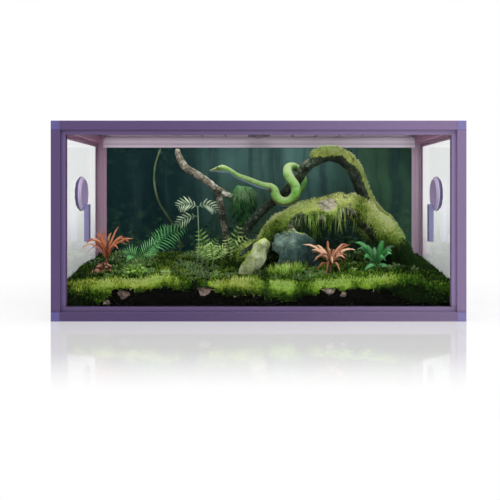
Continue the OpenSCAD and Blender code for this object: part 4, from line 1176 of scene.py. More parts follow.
@dataclass
class Ground:
    """Soil behind the front glass and the moss carpet on it.

    Each hump is a place, its reach along X and Y and its height, in millimetres. The hem gives
    the height at which the carpet's front face ends, at places along X, in metres.
    """

    half_x: float = 0.5888
    front_y: float = -0.2620
    back_y: float = 0.2720
    soil_z: float = 0.070
    least: float = 0.020
    rise: float = 0.050
    floor_z: float = 0.0345
    under_z: float = 0.068
    face_rows: int = 9
    columns: int = 330
    humps: tuple[tuple[float, ...], ...] = (
        (-430, -230, 90, 70, 12), (-275, -215, 70, 80, 28), (-60, -230, 90, 60, 18),
        (290, -235, 120, 60, 14), (450, -205, 80, 90, 34), (-480, -40, 110, 110, 24),
        (300, -100, 150, 90, 26), (-330, 20, 90, 120, 18), (60, 190, 300, 80, 20))
    hem: tuple[tuple[float, float], ...] = (
        (-0.589, 0.040), (-0.50, 0.042), (-0.46, 0.052), (-0.43, 0.088), (-0.37, 0.088),
        (-0.345, 0.078), (-0.30, 0.094), (-0.28, 0.096), (-0.24, 0.084), (-0.195, 0.086),
        (-0.175, 0.104), (-0.14, 0.104), (-0.12, 0.076), (-0.06, 0.066), (-0.02, 0.082),
        (0.01, 0.078), (0.03, 0.058), (0.08, 0.052), (0.12, 0.062), (0.17, 0.078),
        (0.19, 0.094), (0.225, 0.094), (0.24, 0.084), (0.29, 0.100), (0.33, 0.086),
        (0.38, 0.084), (0.41, 0.066), (0.45, 0.050), (0.589, 0.043))

    def height(self, x: Array, y: Array) -> Array:
        """The moss carpet's smooth height at places."""
        share = (y - self.front_y) / (self.back_y - self.front_y)
        z = self.soil_z + self.least + self.rise * share
        for hx, hy, rx, ry, h in self.humps:
            z = z + h * MM * bell((x, hx * MM, rx * MM), (y, hy * MM, ry * MM))
        return z

    def sections(self, lift: float, hem: Array, front: float, rows: int) -> Array:
        """Rings round the sections of a bed, one for each column along X.

        Args:
            lift: How far its top lies over the smooth height.
            hem: Where its front face ends below, per column.
            front: Y of its front face.
            rows: Points from back to front over its top.

        Returns:
            Points by column, by place round the section, by axis.
        """
        xs = np.linspace(-self.half_x, self.half_x, self.columns)
        ys = np.linspace(self.back_y, front + 0.004, rows)
        out = []
        for x, low in zip(xs, hem):
            top = self.height(np.full(rows, x), ys) + lift
            face = np.linspace(top[-1] - 0.003, low, self.face_rows)
            under = min(low, self.under_z)
            ring = [*zip(ys, top), *((front, z) for z in face), (front + 0.006, low - 0.001),
                    (0.0, under), (self.back_y, under)]
            out.append([(x, y, z) for y, z in ring])
        return np.array(out)

    def soil(self, finish: Rough) -> None:
        """Makes the soil bed, with a lumpy front face."""
        low = np.full(self.columns, self.floor_z)
        bed = loft(self.sections(-0.012, low, self.front_y + 0.0045, 60), tone=0.3)
        p = bed.points
        x, y, z = p.T
        inside = np.abs(x) < self.half_x - 0.001
        lumps = noise(p, 42.0, 3, 4) * 0.0030 + noise(p, 140.0, 4, 2) * 0.0016
        front = (y < self.front_y + 0.02) & (z > self.floor_z + 0.002) & inside
        for at, level in ((-0.398, 0.068), (-0.158, 0.083), (0.206, 0.086), (-0.448, 0.046)):
            lumps += 0.008 * bell((x, at, 0.026), (z, level, 0.022))
        bed.points[:, 1] += np.where(front, lumps, 0.0)
        place(bed, "soil", finish.make("soil"), "soil", "soil_bed")

    def carpet(self, finish: Mossy) -> Object:
        """Makes the moss carpet.

        Args:
            finish: The moss's finish.

        Returns:
            The carpet, with the values that say where its moss blades and small herbs grow.
        """
        xs = np.linspace(-self.half_x, self.half_x, self.columns)
        at = np.stack([xs, 0 * xs, 0 * xs], axis=1)
        ragged = np.interp(xs, *np.array(self.hem).T) + noise(at, 48.0, 8) * 0.010
        carpet = loft(self.sections(0.0, ragged, self.front_y, 128))
        p = carpet.points
        x, y, z = p.T
        inside = np.abs(x) < self.half_x - 0.0005
        top = (z > self.height(x, y) - 0.001) & (y < self.back_y - 0.001)
        # Cushions on its top, and smaller ones on its front face.
        flat = p * np.array([1, 1, 0.4])
        big, small = domes(flat, 19.0, 5), domes(flat, 52.0, 6)
        lumps = ((big - 0.62) * 0.010 + (small - 0.6) * 0.0060 + noise(p, 150.0, 7, 2) * 0.0016
                 + noise(p, 6.0, 8, 2) * 0.004)
        carpet.points[:, 2] += np.where(top & inside, lumps, 0.0)
        face = ~top & (y < self.front_y + 0.003)
        carpet.points[:, 1] += np.where(face & inside, 0.0030 + 0.0030 * (1 - 2 * small), 0.0)
        # Painted light near the glass and on the cushion tops, painted shade between the cushions,
        # down the front face and in shaded zones, a painted highlight along the front edge, and one
        # bright mound.
        near = climb(y, self.front_y + 0.046, -0.036)
        bright = np.clip(-0.20 + 0.66 * big + 0.70 * small + 1.3 * noise(p, 13.0, 9), 0, 1.25)
        # Painted shade down the front face, lit only near its crest.
        lit_crest = climb(z - self.height(x, y), -0.030, 0.026)
        shade = np.where(face, 0.12 + 0.88 * lit_crest**1.3, 1.0)
        # Painted shade in darker zones at both ends, at the back on the right and in dark gaps.
        shaded_zones = 1 - 0.70 * climb(x, 0.37, 0.05) - 0.45 * climb(x, -0.43, -0.05)
        shaded_zones *= 1 - 0.7 * bell((x, 0.45, 0.09), (y, -0.06, 0.12))
        for at, half, part in ((-0.185, 0.024, 0.75), (0.022, 0.014, 0.7), (0.118, 0.024, 0.55),
                               (-0.075, 0.045, 0.26)):
            shaded_zones *= 1 - part * bell((x, at, half))
        # Painted highlight along the front edge.
        crown = bell((y - self.front_y, 0.02, 0.03)) * 0.22
        mound = top * bell((x, 0.088, 0.05), (y, -0.125, 0.03))
        carpet.tone = (bright * (0.30 + 0.70 * near) * shade + crown * small) * shaded_zones
        carpet.tone = np.maximum(carpet.tone, mound * (0.30 + 0.6 * small))
        # Herbs grow left and right of the middle and at the back, but not over the red rock.
        up = np.clip(carpet.normals()[:, 2], 0, 1)
        herbs = (bell((x, -0.26, 0.17), (y, -0.06, 0.13))
                 + 0.8 * bell((x, 0.26, 0.13), (y, -0.12, 0.07)) + 0.35 * climb(y, 0.10, 0.05))
        herbs = np.where(top & inside, herbs, 0.0)
        herbs *= 1 - bell((x, -0.480, 0.05), (y, -0.145, 0.04))
        herbs *= np.clip(0.4 + 1.3 * noise(p, 13.0, 10, 2), 0, 1)
        clear = (np.abs(x) < 0.580) & (y < 0.262)
        return place(carpet, "moss_carpet_top", finish.make("moss"), "moss", "moss_carpet",
                     cover=np.where(top, up * near**1.5, (face & inside) * 0.8),
                     mound=np.clip(mound * 1.6 - 0.2, 0, 1),
                     back=np.where(top & clear, up * (1 - near), 0.0),
                     herbs=herbs * (np.abs(x) < 0.555) * (np.abs(y) < 0.235))


# ---- Rocks ----


def stone(centre: Triple, reach: Triple, seed: int, around: int, rough: float,
          facets: float = 0.5) -> Mesh:
    """A stone: a swollen ball with flat breaks and a rough skin.

    Args:
        centre: Its middle.
        reach: Half its size along each axis.
        seed: Chooses its shape.
        around: Points round it.
        rough: How far its skin departs from the ball, as a share of its size.
        facets: How much of the shape is cut flat.

    Returns:
        The closed stone.
    """
    rows = around // 2 + 1
    v = np.linspace(0.02, math.pi - 0.02, rows)
    u = np.linspace(0, 2 * math.pi, around, endpoint=False)
    ball = np.stack([np.outer(np.sin(v), np.cos(u)), np.outer(np.sin(v), np.sin(u)),
                     np.outer(-np.cos(v), np.ones(around))], axis=-1)
    made = loft(ball)
    way = unit(made.points)
    rng = np.random.default_rng(seed)
    flat = np.full(len(way), 1.0)
    for cut in unit(rng.normal(size=(9, 3))):
        flat = np.minimum(flat, rng.uniform(0.62, 0.9) / np.maximum(way @ cut, 0.05))
    r = (1 - facets) + facets * flat
    r = r * (1 + rough * noise(way + seed, 1.6, seed)
             + 0.25 * rough * noise(way + seed, 7.0, seed))
    made.points = np.array(centre) + way * r[:, None] * np.array(reach)
    made.uv = np.stack([np.arctan2(way[:, 1], way[:, 0]) / math.pi * 0.1, way[:, 2] * 0.05], axis=1)
    made.tone = np.clip(0.5 + 0.4 * noise(way + seed, 2.2, seed + 1), 0, 1)
    return made


@dataclass
class Rocks:
    """The boulder under the root, the leaning slab, the red rock and the front stones."""

    blue: Rough = Rough(srgb(26, 42, 44), srgb(66, 92, 86), srgb(132, 156, 146), 16.0,
                        relief=0.008, moss=0.25, cracks=0.0)
    slab: Rough = Rough(srgb(60, 72, 44), srgb(158, 168, 116), srgb(228, 228, 194), 26.0,
                        relief=0.008, moss=0.42, cracks=0.0)
    red: Rough = Rough(srgb(44, 26, 20), srgb(134, 90, 68), srgb(206, 158, 128), 26.0,
                       relief=0.008, cracks=0.34)
    pebble: Rough = Rough(srgb(58, 46, 42), srgb(136, 116, 106), srgb(214, 198, 188), 30.0,
                          relief=0.003, moss=0.10)

    def make(self) -> None:
        """Makes all the rocks."""
        boulder = Mesh()
        for centre, reach, seed, around in (
                ((0.128, -0.030, 0.158), (0.064, 0.050, 0.098), 4, 96),
                ((0.090, -0.012, 0.205), (0.042, 0.036, 0.052), 9, 72),
                ((0.168, -0.040, 0.120), (0.036, 0.034, 0.062), 12, 72)):
            boulder.add(stone(centre, reach, seed, around, rough=0.34, facets=0.9))
        x, _, z = boulder.points.T
        # Painted light and shade: lighter at the top left, darker at the bottom right.
        boulder.tone += 6.0 * (z - 0.195) - 7.0 * (x - 0.108)
        place(boulder, "blue_boulder_stone", self.blue.make("blue_stone"), "stone",
              "blue_boulder")
        path = smooth_path([[-0.046, -0.120, 0.066], [-0.042, -0.118, 0.100],
                            [-0.030, -0.112, 0.130], [-0.008, -0.102, 0.164],
                            [0.016, -0.088, 0.200], [0.034, -0.078, 0.216]], 6)
        wide = sizes([0.026, 0.029, 0.031, 0.031, 0.026, 0.008], 6)
        thick = sizes([0.014, 0.016, 0.016, 0.015, 0.011, 0.004], 6)
        slab = tube(path, wide, thick, 40, (1, 0.6, 0))
        p = slab.points
        slab.swell(noise(p, 20.0, 21) * 0.010 - np.abs(noise(p, 26.0, 24, 2)) * 0.014 + 0.003
                   + noise(p, 90.0, 22) * 0.0025)
        slab.tone = np.clip(0.50 + 0.7 * noise(p, 22.0, 23), 0, 1)
        place(slab, "leaning_slab_stone", self.slab.make("slab_stone"), "stone", "leaning_slab")
        red = stone((-0.489, -0.104, 0.112), (0.036, 0.034, 0.038), 31, 80, 0.3)
        red.add(stone((-0.466, -0.118, 0.094), (0.018, 0.018, 0.022), 33, 32, 0.3))
        red.swell((domes(red.points, 62.0, 35) - 0.7) * self.red.relief)
        # Painted shade in the creases between the swellings, with their tops lighter.
        red.tone = np.clip(1.7 * domes(red.points, 62.0, 35) - 0.7, -0.6, 1.1)
        place(red, "red_rock_stone", self.red.make("red_stone"), "stone", "red_rock")
        stones = Mesh()
        for i, (x, r, low, high) in enumerate(((-398, 25, 50, 86), (-448, 11, 38, 54),
                                               (-158, 28, 58, 108), (206, 22, 68, 104),
                                               (250, 14, 62, 84), (-70, 9, 60, 76))):
            y = -0.2622 + (r - 1) * MM
            stones.add(stone((x * MM, y, (low + high) / 2 * MM),
                             (r * MM, r * 0.92 * MM, (high - low) / 2 * MM), 40 + i, 40, 0.2, 0.8))
        place(stones, "front_pebbles", self.pebble.make("pebble_stone"), "stone", "front_stones")


# ---- Root, branches and moss ----


@dataclass
class Wood:
    """The mossy root, the arched branch, the driftwood, the liana and the hanging moss."""

    bark: Rough = Rough(srgb(22, 28, 24), srgb(74, 84, 70), srgb(196, 186, 166), 20.0,
                        relief=0.006, moss=0.3, grown=True)
    dark_bark: Rough = Rough(srgb(18, 26, 22), srgb(62, 74, 60), srgb(160, 166, 142), 30.0,
                             moss=0.3, roughness=0.75, grown=True)
    pale_bark: Rough = Rough(srgb(42, 48, 40), srgb(154, 144, 124), srgb(250, 248, 234), 34.0,
                             relief=0.0035, moss=0.10, roughness=0.75)
    vine: Rough = Rough(srgb(60, 74, 48), srgb(118, 134, 92), srgb(172, 184, 140), 30.0,
                        (1.0, 2.0, 1.0), 0.001, roughness=0.7, along=True)

    def root(self) -> Object:
        """The thick root, with folds along it and thick moss where its cover value is high."""
        steps = 14
        path = smooth_path(metres([
            [-43, 30, 60], [-43, 30, 106], [-43, 30, 150], [26, 36, 190], [72, 42, 240],
            [148, 46, 282], [226, 50, 308], [290, 50, 316], [348, 50, 292], [410, 50, 232],
            [474, 45, 150], [474, 45, 106], [474, 45, 60]]), steps)
        high = sizes([26, 26, 28, 30, 33, 35, 36, 36, 35, 34, 30, 28, 28], steps) * MM
        deep = sizes([34, 34, 36, 42, 50, 55, 58, 58, 55, 50, 38, 36, 36], steps) * MM
        root = tube(path, high * 0.93, deep * 0.95, 112)
        p = root.points
        fold = noise(p * np.array([0.25, 1.0, 0.25]), 60.0, 51, 3) * 0.0075
        root.swell(fold + noise(p, 16.0, 52) * 0.008 + noise(p, 80.0, 53, 2) * 0.0018)
        p, up = root.points, root.normals()[:, 2]
        x, y, z = p.T
        # Moss lies on what faces up, but not on one bare patch of wood nor near the ground.
        bare = np.clip(1.6 * bell((x, 0.228, 0.034), (z, 0.332, 0.026), (y, 0.01, 0.05)), 0, 1)
        flank = climb(x, 0.34, 0.06) * 0.55
        cover = np.clip((up + 0.02 + 1.9 * noise(p, 17.0, 55) + flank) * 2.4, 0, 1)
        cover *= climb(z, 0.10, 0.04) * (1 - bare)
        clumps = domes(p, 34.0, 56)
        root.swell(cover * (0.001 + 0.010 * clumps + 0.004 * domes(p, 90.0, 57)))
        # Painted light on what faces up and on the tops of moss clumps, painted shade near the
        # ground and on the lower right flank.
        sun = np.clip(0.10 + up, 0, 1) ** 1.3
        moss_tone = np.clip(0.04 + 0.46 * clumps + 0.66 * sun + 0.4 * flank
                            + 0.9 * noise(p, 15.0, 58), 0, 1.3)
        wood_tone = np.clip(0.50 + 0.6 * noise(p, 14.0, 54) + 0.8 * bare, 0, 1.3)
        low = 0.35 + 0.65 * climb(z, 0.13, 0.10)
        flank_shade = climb(x, 0.33, 0.05) * climb(z, 0.240, -0.06)
        root.tone = np.where(cover > 0.4, moss_tone, wood_tone) * low * (1 - flank_shade) - 0.20 * flank_shade
        # Strands hang from two places on the front.
        strands = bell((x, 0.205, 0.075)) + 0.6 * bell((x, 0.09, 0.035))
        curtain = ((y < 0.015) & (z > 0.262)) * strands * np.clip(
            0.3 + 2.2 * noise(p, 30.0, 59, 2), 0, 1)
        return place(root, "mossy_root_wood", self.bark.make("root_bark"), "bark", "mossy_root",
                     cover=cover, fringe=cover * (np.abs(up) < 0.55) * (y < 0.05),
                     curtain=curtain)

    def arch(self) -> Object:
        """The dark branch that arches over the root, with thick moss along its top."""
        steps = 12
        route = metres([
            [-80, 130, 60], [-80, 130, 120], [-80, 130, 170], [-31, 130, 261], [42, 125, 334],
            [90, 122, 372], [132, 120, 414], [162, 120, 459], [200, 120, 484], [245, 120, 498],
            [290, 124, 486], [322, 128, 452], [343, 134, 407], [366, 140, 352], [398, 150, 304],
            [450, 164, 258], [492, 175, 190], [492, 175, 120], [492, 175, 60]])
        taper = sizes([0.66, 0.66, 0.66, 0.7, 0.75, 0.8, 0.85, 0.95, 1, 1, 1, 0.98, 0.95, 0.92,
                       0.88, 0.8, 0.72, 0.7, 0.7], steps) * 0.020
        branch = tube(smooth_path(route, steps), taper, taper, 44)
        p = branch.points
        ridge = noise(p * np.array([0.5, 1.0, 0.5]), 70.0, 60, 2) * 0.0022
        branch.swell(ridge + noise(p, 30.0, 61) * 0.0030 + noise(p, 120.0, 62, 2) * 0.0009)
        p, way = branch.points, branch.normals()
        x, _, z = p.T
        right, up = way[:, 0], way[:, 2]
        # Moss lies along the top and down the right-hand slope.
        crown = climb(x, 0.180, 0.03) * climb(z, 0.43, 0.02)
        slope = climb(x, 0.28, 0.02) * np.clip((right + up - 1.02) * 4, 0, 1)
        cover = np.clip(crown * (up - 0.10 + 0.4 * noise(p, 24.0, 64, 2)) * 4 + slope, 0, 1)
        cover *= climb(z, 0.14, 0.03)
        clumps = domes(p, 60.0, 65)
        branch.swell(cover * (0.002 + 0.0075 * clumps))
        lichen = bell((x, 0.160, 0.035), (z, 0.455, 0.03)) * 0.7
        # Painted light: moss brighter on the tops of its clumps and bare wood brighter where it
        # faces up; the lichen patch is paler.
        branch.tone = np.where(cover > 0.4, 0.38 + 0.65 * clumps, np.clip(
            0.24 + 0.24 * up + 0.35 * noise(p, 20.0, 63, 2)
            + lichen * (0.4 + 0.8 * noise(p, 70.0, 66, 2)), 0, 1))
        return place(branch, "arched_branch_wood", self.dark_bark.make("branch_bark"), "bark",
                     "arched_branch", cover=cover)

    def driftwood(self) -> None:
        """The paler forked branch with knots."""
        fork = [-148, 196, 380]
        arms = (([[-117, 180, 60], [-117, 180, 120], [-117, 180, 190], [-128, 184, 280], fork],
                 [0.85, 0.85, 0.85, 0.8, 1.0], (1, 0, 0)),
                ([[-120, 192, 366], fork, [-197, 204, 419], [-241, 212, 446], [-271, 224, 466],
                  [-288, 238, 500], [-298, 246, 526]], [0.8, 1, 1, 0.95, 0.9, 0.8, 0.6],
                 (0, 1, 0)),
                ([[-160, 197, 388], fork, [-121, 192, 366], [-82, 188, 350], [-36, 182, 330]],
                 [0.7, 1, 0.9, 0.8, 0.5], (0, 1, 0)))
        wood = Mesh()
        for k, (route, share, start) in enumerate(arms):
            r = sizes(share, 10) * 0.013
            arm = tube(smooth_path(metres(route), 10), r, r, 28, start)
            p = arm.points
            knots = np.clip(noise(p, 30.0, 71, 2) - 0.10, 0, 1)
            arm.swell(knots * 0.009 + noise(p, 90.0, 72) * 0.0022)
            lichen = (np.clip(noise(p, 55.0, 74) - 0.05, 0, 1) * climb(p[:, 0], -0.20, 0.05)
                      * (p[:, 2] > 0.34))
            lit = arm.normals()[:, 2] * 0.22
            arm.tone = np.clip(0.34 + knots * 0.6 + lit + 0.25 * noise(p, 50.0, 73, 2)
                               + 2.4 * lichen - 0.22 * (k == 0), 0, 1.4)
            wood.add(arm)
        place(wood, "driftwood_wood", self.pale_bark.make("driftwood_bark"), "driftwood",
              "driftwood_branch")

    def liana(self) -> None:
        """The thin vine, with small buds along it."""
        path = smooth_path(metres([
            [-282, 200, 60], [-282, 200, 120], [-282, 200, 180], [-300, 206, 240],
            [-334, 218, 292], [-359, 230, 329], [-374, 240, 369], [-382, 246, 416],
            [-379, 252, 470], [-361, 258, 531]]), 14)
        share = np.linspace(0, 1, len(path))
        r = 0.0042 + 0.0010 * np.maximum(0, np.sin(share * 60)) ** 6 - 0.0012 * share
        vine = tube(path, r, r, 12)
        vine.tone = (np.clip(0.5 + 0.5 * noise(vine.points, 30.0, 75, 2), 0, 1)
                     - 0.8 * climb(vine.points[:, 2], 0.36, -0.08))
        place(vine, "liana_vine", self.vine.make("vine_bark"), "driftwood", "liana")

    def hanging(self, tree: Tree, hair: Object) -> None:
        """The tuft that hangs from the short arm: a core and long hair."""
        y = 168
        path = smooth_path(metres([[-52, y, 392], [-56, y - 1, 350], [-46, y - 2, 300],
                                   [-52, y - 3, 250]]), 10)
        core = tube(path, sizes([24, 34, 25, 5], 10) * MM, sizes([7, 8, 7, 2.5], 10) * MM, 40)
        p = core.points
        drawn = p * np.array([1, 1, 0.3])
        core.swell(noise(drawn, 90.0, 81) * 0.006)
        core.tone = np.clip(0.28 + 0.35 * noise(drawn, 70.0, 82, 2)
                            + 0.5 * climb(p[:, 2], 0.34, 0.05), 0, 1)
        finish = Mossy(srgb(20, 52, 28), srgb(90, 168, 92), srgb(166, 226, 152),
                       srgb(214, 238, 194), srgb(34, 78, 48), blades=True, lift=0.16).make(
                           "hanging_moss")
        piece = core.build("hanging_moss_core", finish)
        keep(piece, cover=np.ones(len(p)))
        settle(tree.grow(piece, "hanging_moss_hair", {
            "Blade": hair, "Where": "cover", "Density": 90000.0, "Size": 1.15, "Seed": 7,
            "Lean": (0.0, 0.0, -2.2), "Loose": 0.5, "Finish": finish}), "moss")
        settle(piece, "moss", "hanging_moss")


# ---- Snake ----


@dataclass
class Snake:
    """The green tree snake looped over the arched branch."""

    radius: float = 0.0165
    # Millimetres to the back: the branch's distance less its half thickness and the snake's.
    seat: float = 44.4 - 0.85 * 20 - 16.5
    skin: Scales = Scales()

    def make(self) -> None:
        """Makes the body, the head with its brow and jaw, and the eyes."""
        route = [[-165, 40, 444], [-154, 40, 446.5], [-142, 40, 449], [-131, 40, 450.5],
                 [-120, 40, 451], [-97, 42, 444], [-73, 46, 428],
                 [-37, 52, 414], [-2, 62, 400], [22, 70, 393], [40, 76, 390], [53, 79, 378],
                 [58, 80, 361], [68, 81, 346], [88, 82, 339], [110, 80, 346], [125, 76, 367],
                 [124, 76, 392], [110, 78, 414], [99, 88, 436], [102, 122, 457],
                 [124, 158, 462], [148, 164, 444], [160, 162, 414], [150, 160, 380],
                 [126, 160, 352]]
        wide = [0.30, 0.52, 0.72, 0.90, 0.92, 0.60, 0.62, 0.70, 0.73, 0.75, 0.8, 0.88, 0.96, 1, 1,
                1, 1, 1, 1, 1, 0.92, 0.84, 0.7, 0.55, 0.4, 0.12]
        steps = 12
        path = smooth_path(metres(route) + np.array([0, self.seat * MM, 0]), steps)
        half = sizes(wide, steps) * self.radius
        _, side, up = path_frames(path, (0, 1, 0))
        around = 48
        a = np.linspace(0, 2 * math.pi, around, endpoint=False)
        # From 0 at the snout, one more at each point of the route.
        share = np.arange(len(path)) / steps
        flat = np.interp(share, [0, 2, 4, 6, 9], [0.55, 0.74, 0.88, 0.95, 1.0])
        brow = bell((share, 2.6, 0.9))[:, None] * bell((np.sin(a), 0.62, 0.22)) * 0.10
        jaw = -bell((np.sin(a), -0.22, 0.10)) * np.clip(1 - share / 4.4, 0, 1)[:, None] * 0.07
        swell = 1 + brow + jaw
        rings = (path[:, None]
                 + side[:, None] * (np.cos(a)[None] * half[:, None] * swell)[..., None]
                 + up[:, None] * (np.sin(a)[None] * (half * flat)[:, None] * swell)[..., None])
        body = loft(rings)
        ring = np.concatenate([np.repeat(share, around), [0, share[-1]]])
        angle = np.concatenate([np.tile(a, len(path)), [0, 0]])
        down = np.clip((-body.normals()[:, 2] - 0.42) * 2.4, 0, 1)
        belly = np.where(ring < 9.5, np.clip((-np.sin(angle) - 0.30) * 3, 0, 1), down * 0.7)
        body.tone = np.clip(0.22 + 0.2 * noise(body.points, 40.0, 91, 2) + 0.75 * belly
                            * (ring < 19), 0, 1)
        body.uv[:, 1] = np.abs(((angle / math.pi + 0.5) % 2) - 1)
        lip = bell((np.sin(angle), -0.22, 0.07)) * np.clip(1 - ring / 4.2, 0, 1)
        stripe = bell((np.sin(angle), 0.12, 0.30)) * np.clip(1 - (ring - 3.2) / 1.6, 0, 1)
        place(body, "tree_snake_body", self.skin.make("snake_skin"), "snake_green", "tree_snake",
              stripe=stripe, lip=np.clip(lip * 1.2, 0, 1))
        eye = Mesh()
        for sign in (-1, 1):
            centre = (-0.1385, (40 + self.seat) * MM + sign * 0.0112, 0.4548)
            eye.add(stone(centre, (0.0032, 0.0024, 0.0032), 5, 20, rough=0.0, facets=0.0))
        bead = Moulded(srgb(24, 16, 8), 0.12, grain=40.0, depth=0.00001).make("snake_eye")
        place(eye, "tree_snake_eyes", bead, "snake_green")


# ---- Plants ----


# Points along each frond's rib.
RIB_POINTS = 14


@dataclass(frozen=True)
class Frond:
    """One frond: its base, tip, the way its face looks, leaflet reach and sag."""

    base: Triple
    tip: Triple
    face: Triple
    reach: float
    arch: float = 0.12


@dataclass
class FernBed:
    """A group of fronds with one kind of leaflet.

    There are as many pairs of leaflets on each frond. A leaflet's width and curl are shares of its
    length, lean is how far it turns to the tip in radians, and droop how far it hangs. A stem has
    a foot, a top and half its thickness in millimetres.
    """

    name: str
    node: str
    fronds: tuple[Frond, ...]
    finish: Leafy
    pairs: int
    leaflet: tuple[float, float]
    lean: float
    droop: float
    rib: float
    stems: tuple[tuple[Triple, Triple, float], ...]

    def make(self, tree: Tree) -> None:
        """Makes the fronds along their ribs, and the stems that carry them."""
        paths = []
        for f in self.fronds:
            base, tip = metres([f.base, f.tip])
            length = np.linalg.norm(tip - base)
            t = np.linspace(0, 1, RIB_POINTS)[:, None]
            lift = np.array([0, 0, 1.0]) * f.arch * length * 4
            paths.append(base + (tip - base) * t + lift * t * (1 - t))
        edges = [(i, i + 1) for i in range(len(paths) * RIB_POINTS) if (i + 1) % RIB_POINTS]
        mesh = bpy.data.meshes.new(self.name)
        mesh.from_pydata(np.vstack(paths).tolist(), edges, [])
        base = link(self.name + "_ribs", mesh)
        keep(base, face=unit(np.repeat([f.face for f in self.fronds], RIB_POINTS, axis=0)),
             reach=np.repeat([f.reach * MM for f in self.fronds], RIB_POINTS))
        slim, curl = self.leaflet
        shape = leaf([[0, 0, 0], [0.35, 0.02, 0.05], [0.7, 0.02, 0.03], [1, 0, -curl]], slim,
                     LeafShape.LANCE, (0, 1, 0), 0.2, 0.012, 2).helper("leaflet")
        finish = self.finish.make(self.name)
        piece = tree.grow(base, self.name + "_fronds", {
            "Leaflet": shape, "Count": self.pairs, "Lean": self.lean, "Droop": self.droop,
            "Rib": self.rib, "Finish": finish})
        remove(base, shape)
        settle(piece, "leaf_green", self.node)
        stalks = Mesh()
        for k, (low, high, r) in enumerate(self.stems):
            a, b = metres([low, high])
            bend = np.array([math.sin(k * 2.1), math.cos(k * 1.7), 0]) * 0.004
            path = smooth_path([a, a + (b - a) * 0.4 + bend, b], 8)
            size = np.linspace(r, r * 0.6, len(path)) * MM
            stalks.add(tube(path, size, size, 10, tone=0.3))
        place(stalks, self.name + "_stems", finish, "leaf_green")


@dataclass
class Rosette:
    """Leaves that rise from one crown, each a middle and a tip counted from the crown.

    Their upper faces are turned the way that shown says.
    """

    name: str
    slot: str
    node: str
    crown: Triple
    leaves: tuple[tuple[Triple, Triple], ...]
    width: float
    shape: LeafShape
    finish: Leafy
    foot: float = 0.005
    fold: float = 0.3
    ruffle: float = 0.0
    shown: Triple = (0.0, -0.72, 0.69)

    def make(self) -> None:
        """Makes the leaves, their upper faces turned to the front, and the foot in the moss."""
        crown = np.array(self.crown)
        plant = Mesh()
        rng = np.random.default_rng(len(self.name))
        for k, (middle, tip) in enumerate(self.leaves):
            m, t = np.array(middle, float), np.array(tip, float)
            low = crown + m * np.array([0.10, 0.10, 0.02])
            m, t = m + rng.uniform(-3, 3, 3), t * np.array([0.94, 0.94, 0.90]) + rng.uniform(
                -5, 5, 3)
            quarter = crown + m * np.array([0.45, 0.45, 0.62])
            face = np.cross(t, self.shown) + np.array([0, 0.01, 0])
            bow = crown + (m + t) / 2 + np.array([0, 0, rng.uniform(3, 9)])
            plant.add(leaf(metres([low, quarter, crown + m, bow, crown + t]),
                           self.width * rng.uniform(0.85, 1.1) * MM, self.shape, face,
                           self.fold, tone=rng.uniform(0.0, 1.05), ruffle=self.ruffle, seed=k))
        top = crown * MM
        # The foot, from just under the moss up to the crown.
        path = np.array([[top[0], top[1], 0.068], [top[0], top[1], top[2] * 0.6 + 0.0272],
                         [top[0], top[1], top[2] + 0.003]])
        size = np.array([1.0, 0.8, 0.5]) * self.foot
        plant.add(tube(path, size, size, 12, tone=0.2))
        place(plant, self.name, self.finish.make(self.name + "_leaf"), self.slot, self.node)


def whorl(count: int, first: float, step: float, low: float, lift: float, out: Sequence[float],
          tip_low: float, tip_lift: float, turn: float = 0.0) -> tuple[tuple[Triple, Triple], ...]:
    """Leaves set round a crown by the golden angle, the later ones longer and higher.

    Args:
        count: How many leaves there are.
        first, step: Reach of the first leaf's middle, and how much more each next one has.
        low, lift: The same for the height of the middle over the crown.
        out: The middle's share of the reach along Y, then the tip's along X and Y.
        tip_low, tip_lift: The same for the height of the tip.
        turn: Degrees by which the whole is turned.

    Returns:
        Each leaf's middle and tip, counted from the crown.
    """
    made = []
    for i in range(count):
        a, s = math.radians(137.5 * i + turn), first + step * i
        made.append(((s * math.cos(a), s * out[0] * math.sin(a), low + lift * i),
                     (out[1] * s * math.cos(a), out[2] * s * math.sin(a),
                      tip_low + tip_lift * i)))
    return tuple(made)


@dataclass
class Bush:
    """A low bush: stems that fan out from one foot, with small leaves along them."""

    name: str
    node: str
    foot: Triple
    reach: Triple
    stems: int
    leaves: int
    length: float
    width: float
    finish: Leafy

    def make(self) -> None:
        """Makes the stems and their leaves."""
        rng = np.random.default_rng(len(self.name) + 40)
        foot = np.array(self.foot, float)
        plant = Mesh()
        for k in range(self.stems):
            a, out = math.radians(137.5 * k), math.sqrt((k + 0.5) / self.stems)
            tip = foot + np.array(self.reach) * np.array([
                out * math.cos(a), out * math.sin(a), math.sqrt(1.05 - out * out)])
            path = smooth_path([foot, foot + (tip - foot) * np.array([0.35, 0.35, 0.6]), tip], 8)
            size = np.linspace(1.3, 0.5, len(path)) * MM
            plant.add(tube(path * MM, size, size, 6, (1, 0.2, 0), 0.2))
            for j in range(self.leaves):
                at = path[int((0.35 + 0.65 * j / (self.leaves - 1)) * (len(path) - 1))]
                turn = a + 2.4 * j + rng.uniform(-0.4, 0.4)
                way = unit(np.array([math.cos(turn), math.sin(turn), rng.uniform(0.2, 0.9)]))
                long = self.length * rng.uniform(0.7, 1.1)
                face = np.cross(way, (0.0, -0.6, 0.8)) + np.array([0, 0.01, 0])
                end = at + way * long - np.array([0, 0, 0.12 * long])
                plant.add(leaf(metres([at, at + way * long * 0.5, end]),
                               self.width * long / self.length * MM, LeafShape.OVAL, face, 0.2,
                               0.0006, 3, rng.uniform(0.2, 1.0)))
        place(plant, self.name, self.finish.make(self.name + "_leaf"), "leaf_green", self.node)


